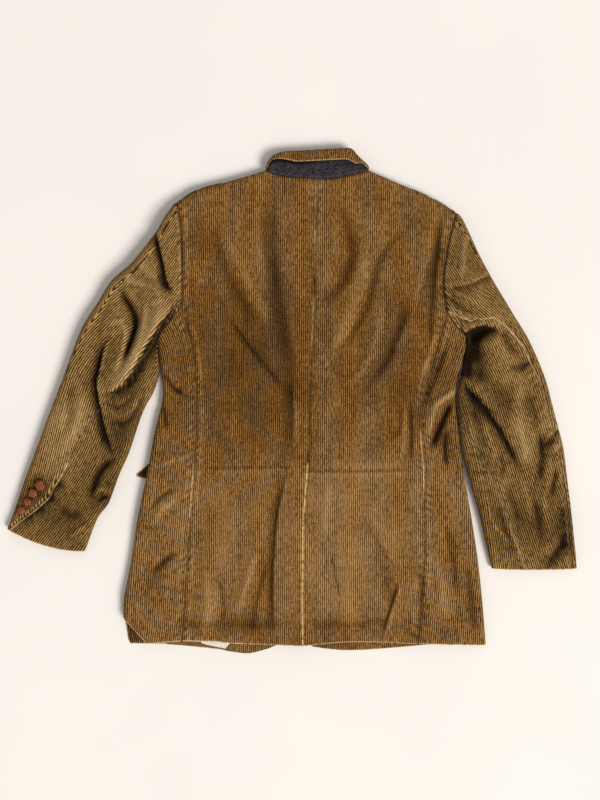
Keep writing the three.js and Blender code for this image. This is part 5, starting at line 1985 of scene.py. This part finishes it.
@dataclass
class Buttons:
    """Knotted leather buttons on both cuffs, and plain ones on the front."""

    halves: dict
    laces: int = 3
    lace_radius: float = 0.19
    lace_spacing: float = 0.5
    middle: float = 0.42
    core_height: float = 0.44
    crown_height: float = 0.5332
    over_scale: float = 1.1
    under_scale: float = 0.93
    knot_reach: float = 0.9
    lace_inset: float = 0.06
    crossing_reach: float = 0.2
    core_hollow: float = 0.35
    disc_depth: float = 0.18
    disc_lift: float = 0.05

    def build(self, dresser: Dresser) -> None:
        """Builds every button.

        Args:
            dresser: Dresses them.
        """
        pattern = self._knot()
        for side in Side:
            for i, (x, y, radius) in enumerate(BUTTON_SEATS[side]):
                name = f"cuff_button_{side.value}_{i + 1}"
                low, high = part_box(name)
                shift = Vector(LEFT_BUTTON_SHIFT) * MM if side is Side.LEFT else Vector()
                middle = (low + high) / 2 + shift
                axis = self._axis(side, x, y)
                foot = middle - axis * (high.z - low.z) * self.middle
                turn = 0.5 + 0.7 * i
                self._place(dresser, pattern, name, foot, axis, radius * MM, turn)
        disc = self._disc()
        for i, (x, y) in enumerate(FRONT_BUTTONS):
            foot = Vector((x, y, self.disc_lift)) * MM
            self._place(dresser, disc, f"front_button_{i + 1}", foot, Vector((0, 0, 1)),
                        FRONT_BUTTON_RADIUS * MM, 0.3)
        bpy.data.objects.remove(pattern)
        bpy.data.objects.remove(disc)

    def _axis(self, side: Side, x: float, y: float) -> Vector:
        """The way a cuff button faces: out of the cloth it is sewn on."""
        if side is Side.RIGHT:
            return Vector((0, 0, -1))
        cloth = self.halves[side].sleeve
        up = cloth.normals[..., 2] > FACES_UP
        distance = np.hypot(cloth.points[..., 0] - x, cloth.points[..., 1] - y) + np.where(up, 0, 1e6)
        j, i = np.unravel_index(np.argmin(distance), distance.shape)
        return Vector(cloth.normals[j, i]).normalized()

    def _clear(self) -> None:
        """Deselects everything."""
        if bpy.context.object and bpy.context.object.mode != "OBJECT":
            bpy.ops.object.mode_set(mode="OBJECT")
        bpy.ops.object.select_all(action="DESELECT")

    def _flatten(self, share: float) -> None:
        """Flattens the active object to a share of its height, about the knot's middle."""
        bpy.ops.object.mode_set(mode="EDIT")
        bpy.ops.mesh.select_all(action="SELECT")
        bpy.ops.transform.resize(value=(1, 1, share), center_override=(0, 0, self.middle))
        bpy.ops.object.mode_set(mode="OBJECT")

    def _hollow(self, made: bpy.types.Object, value: float) -> None:
        """Notes how deep in the knot a part lies, which sets how much painted shade it gets."""
        attribute = made.data.attributes.new("hollow", "FLOAT", "POINT")
        attribute.data.foreach_set("value", [value] * len(made.data.vertices))

    def _knot(self) -> bpy.types.Object:
        """Models one knotted button of radius 1, its crown along +Z.

        Returns:
            The pattern object.
        """
        self._clear()
        bpy.ops.mesh.primitive_uv_sphere_add(segments=28, ring_count=14, radius=1.0,
                                             location=(0, 0, self.middle))
        core = bpy.context.object
        self._flatten(self.core_height)
        bpy.ops.object.transform_apply(location=True, rotation=True, scale=True)
        self._hollow(core, self.core_hollow)
        parts = [core, *(self._lace(way, k) for way in range(2) for k in range(self.laces))]
        self._clear()
        for part in parts:
            part.select_set(True)
        bpy.context.view_layer.objects.active = core
        bpy.ops.object.join()
        core.name = "knot_pattern"
        return core

    def _lace(self, way: int, k: int) -> bpy.types.Object:
        """Models one lace of the knot, which goes over and under those that cross it.

        Args:
            way: 0 or 1, the direction of its set.
            k: Its place in the set.

        Returns:
            The lace.
        """
        offset = (k - (self.laces - 1) / 2) * self.lace_spacing
        reach = math.sqrt(self.knot_reach ** 2 - offset ** 2)
        centre = (offset if way else 0.0, 0.0 if way else offset, self.middle)
        self._clear()
        bpy.ops.mesh.primitive_torus_add(
            major_segments=36, minor_segments=8, major_radius=reach - self.lace_inset,
            minor_radius=self.lace_radius, location=centre,
            rotation=(math.pi / 2, 0, math.pi / 2 if way else 0))
        lace = bpy.context.object
        bpy.ops.object.transform_apply(location=True, rotation=True, scale=True)
        for crossing in range(self.laces):
            place = (crossing - (self.laces - 1) / 2) * self.lace_spacing
            over = (crossing + k + way) % 2 == 0
            for vertex in lace.data.vertices:
                run = vertex.co.y if way else vertex.co.x
                vertex.select = vertex.co.z > self.middle and abs(run - place) < self.crossing_reach
            bpy.ops.object.mode_set(mode="EDIT")
            bpy.ops.mesh.select_mode(type="VERT")
            scale = self.over_scale if over else self.under_scale
            bpy.ops.transform.resize(value=(scale, scale, scale), center_override=centre)
            bpy.ops.mesh.select_all(action="DESELECT")
            bpy.ops.object.mode_set(mode="OBJECT")
        self._flatten(self.crown_height)
        self._hollow(lace, 0.0)
        return lace

    def _disc(self) -> bpy.types.Object:
        """Models one plain front button of radius 1, hidden under the jacket.

        Returns:
            The pattern object.
        """
        self._clear()
        bpy.ops.mesh.primitive_cylinder_add(vertices=40, radius=1.0, depth=self.disc_depth,
                                            location=(0, 0, self.disc_depth / 2))
        disc = bpy.context.object
        bpy.ops.object.transform_apply(location=True, rotation=True, scale=True)
        for face in disc.data.polygons:
            face.select = face.normal.z > 0.5
        bpy.ops.object.mode_set(mode="EDIT")
        bpy.ops.mesh.select_mode(type="FACE")
        bpy.ops.mesh.inset(thickness=0.16)
        bpy.ops.mesh.inset(thickness=0.06, depth=-0.05)
        bpy.ops.mesh.select_all(action="DESELECT")
        bpy.ops.object.mode_set(mode="OBJECT")
        self._hollow(disc, 0.2)
        disc.name = "disc_pattern"
        return disc

    def _place(self, dresser: Dresser, pattern: bpy.types.Object, name: str, foot: Vector, axis: Vector,
               radius: float, turn: float) -> None:
        """Copies a pattern to its seat with its own mesh.

        Args:
            dresser: Dresses it.
            pattern: The button of radius 1.
            name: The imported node's name.
            foot: Where its shank meets the cloth.
            axis: The way it faces.
            radius: Its radius, in metres.
            turn: How far it is turned about its axis.
        """
        mesh = pattern.data.copy()
        mesh.name = name
        tilt = Vector((0, 0, 1)).rotation_difference(axis).to_matrix().to_4x4()
        mesh.transform(Matrix.Translation(foot) @ tilt @ Matrix.Rotation(turn, 4, "Z")
                       @ Matrix.Scale(radius, 4))
        lowest = min(vertex.co.z for vertex in mesh.vertices)
        mesh.transform(Matrix.Translation((0, 0, max(0.0, -lowest))))
        mesh.shade_smooth()
        made = link_new(f"button_{name}", mesh)
        dresser.dress(made, name, "knotted_leather")
        LOG.info("%s: %d faces", made.name, len(mesh.polygons))


@dataclass
class Studio:
    """Pale floor, soft light from the lower right of the picture, and the camera overhead."""

    lens: float = 50.0
    sensor: float = 36.0
    laid_height: float = 0.010
    floor_size: float = 7.0
    key_place: tuple = (9.6, -8.8, 13.4)
    key_size: float = 7.5
    key_power: float = 3300.0
    key_colour: tuple = (1.0, 0.98, 0.95)
    sky_colour: tuple = (1.0, 0.985, 0.965, 1.0)
    sky_strength: float = 0.44

    def build(self) -> None:
        """Builds the floor, lights and camera."""
        self._floor()
        self._lights()
        self._camera()

    def _floor(self) -> None:
        """Lays the floor under the jacket."""
        half = self.floor_size / 2
        mesh = bpy.data.meshes.new("floor")
        mesh.from_pydata([(-half, -half, 0), (half, -half, 0), (half, half, 0), (-half, half, 0)], [],
                         [(0, 1, 2, 3)])
        floor = link_new("floor", mesh)
        s = Shader("pale_floor")
        place = s.node("TexCoord").outputs["Object"]
        cloud = s.noise(place, 3.2, 2.0)
        base = s.mix(cloud, linear(238, 232, 227), linear(246, 242, 236))
        mesh.materials.append(s.finish({"Base Color": base, "Roughness": 0.85, "Specular IOR Level": 0.15}))

    def _lights(self) -> None:
        """Sets the soft key, which faces the jacket, and the pale surroundings."""
        light = bpy.data.lights.new("key", "AREA")
        light.shape = "SQUARE"
        light.size = self.key_size
        light.energy = self.key_power
        light.color = self.key_colour
        lamp = link_new("key", light)
        lamp.location = self.key_place
        lamp.rotation_euler = (-Vector(self.key_place)).to_track_quat("-Z", "Y").to_euler()
        world = bpy.data.worlds.new("surroundings")
        world.use_nodes = True
        background = world.node_tree.nodes["Background"]
        background.inputs["Color"].default_value = self.sky_colour
        background.inputs["Strength"].default_value = self.sky_strength
        bpy.context.scene.world = world
        bpy.context.scene.view_settings.view_transform = "Standard"

    def _camera(self) -> None:
        """Sets the camera straight above, so that one image pixel spans its measured size."""
        span = IMAGE_HEIGHT * PIXEL_MM * MM
        camera = bpy.data.cameras.new("camera")
        camera.lens = self.lens
        camera.sensor_fit = "VERTICAL"
        camera.sensor_height = self.sensor
        camera.sensor_width = self.sensor * IMAGE_WIDTH / IMAGE_HEIGHT
        eye = link_new("camera", camera)
        eye.location = (IMAGE_CENTRE_MM[0] * MM, IMAGE_CENTRE_MM[1] * MM,
                        self.laid_height + span * self.lens / self.sensor)
        bpy.context.scene.camera = eye


def finishes() -> dict:
    """Builds the material of each slot.

    Returns:
        Materials by slot name.
    """
    made = [
        Corduroy("corduroy_back"),
        Corduroy("corduroy_side", crest=linear(158, 113, 59), contrast=1.65),
        Corduroy("corduroy_front", crest=linear(158, 113, 59), contrast=1.3),
        Corduroy("corduroy_sleeve", crest=linear(170, 130, 72), groove=linear(46, 31, 9), contrast=1.75,
                 grit=0.9),
        Corduroy("corduroy_inside", crest=linear(160, 126, 72), groove=linear(66, 46, 20)),
        Felt("felt"),
        Lining("lining"),
        KnottedLeather("knotted_leather"),
    ]
    return {finish.name: finish.make() for finish in made}


def main() -> None:
    """Builds the jacket piece by piece, then the studio around it."""
    logging.basicConfig(level=logging.INFO, format="%(name)s: %(message)s")
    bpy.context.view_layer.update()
    halves = {side: JacketHalf(side) for side in Side}
    dresser = Dresser(finishes())
    Collar(halves).build(dresser)
    Inside(halves).build(dresser)
    Buttons(halves).build(dresser)
    Sleeves(halves).build(dresser)
    Body(halves).build(dresser)
    Studio().build()


if __name__ == "__main__":
    main()
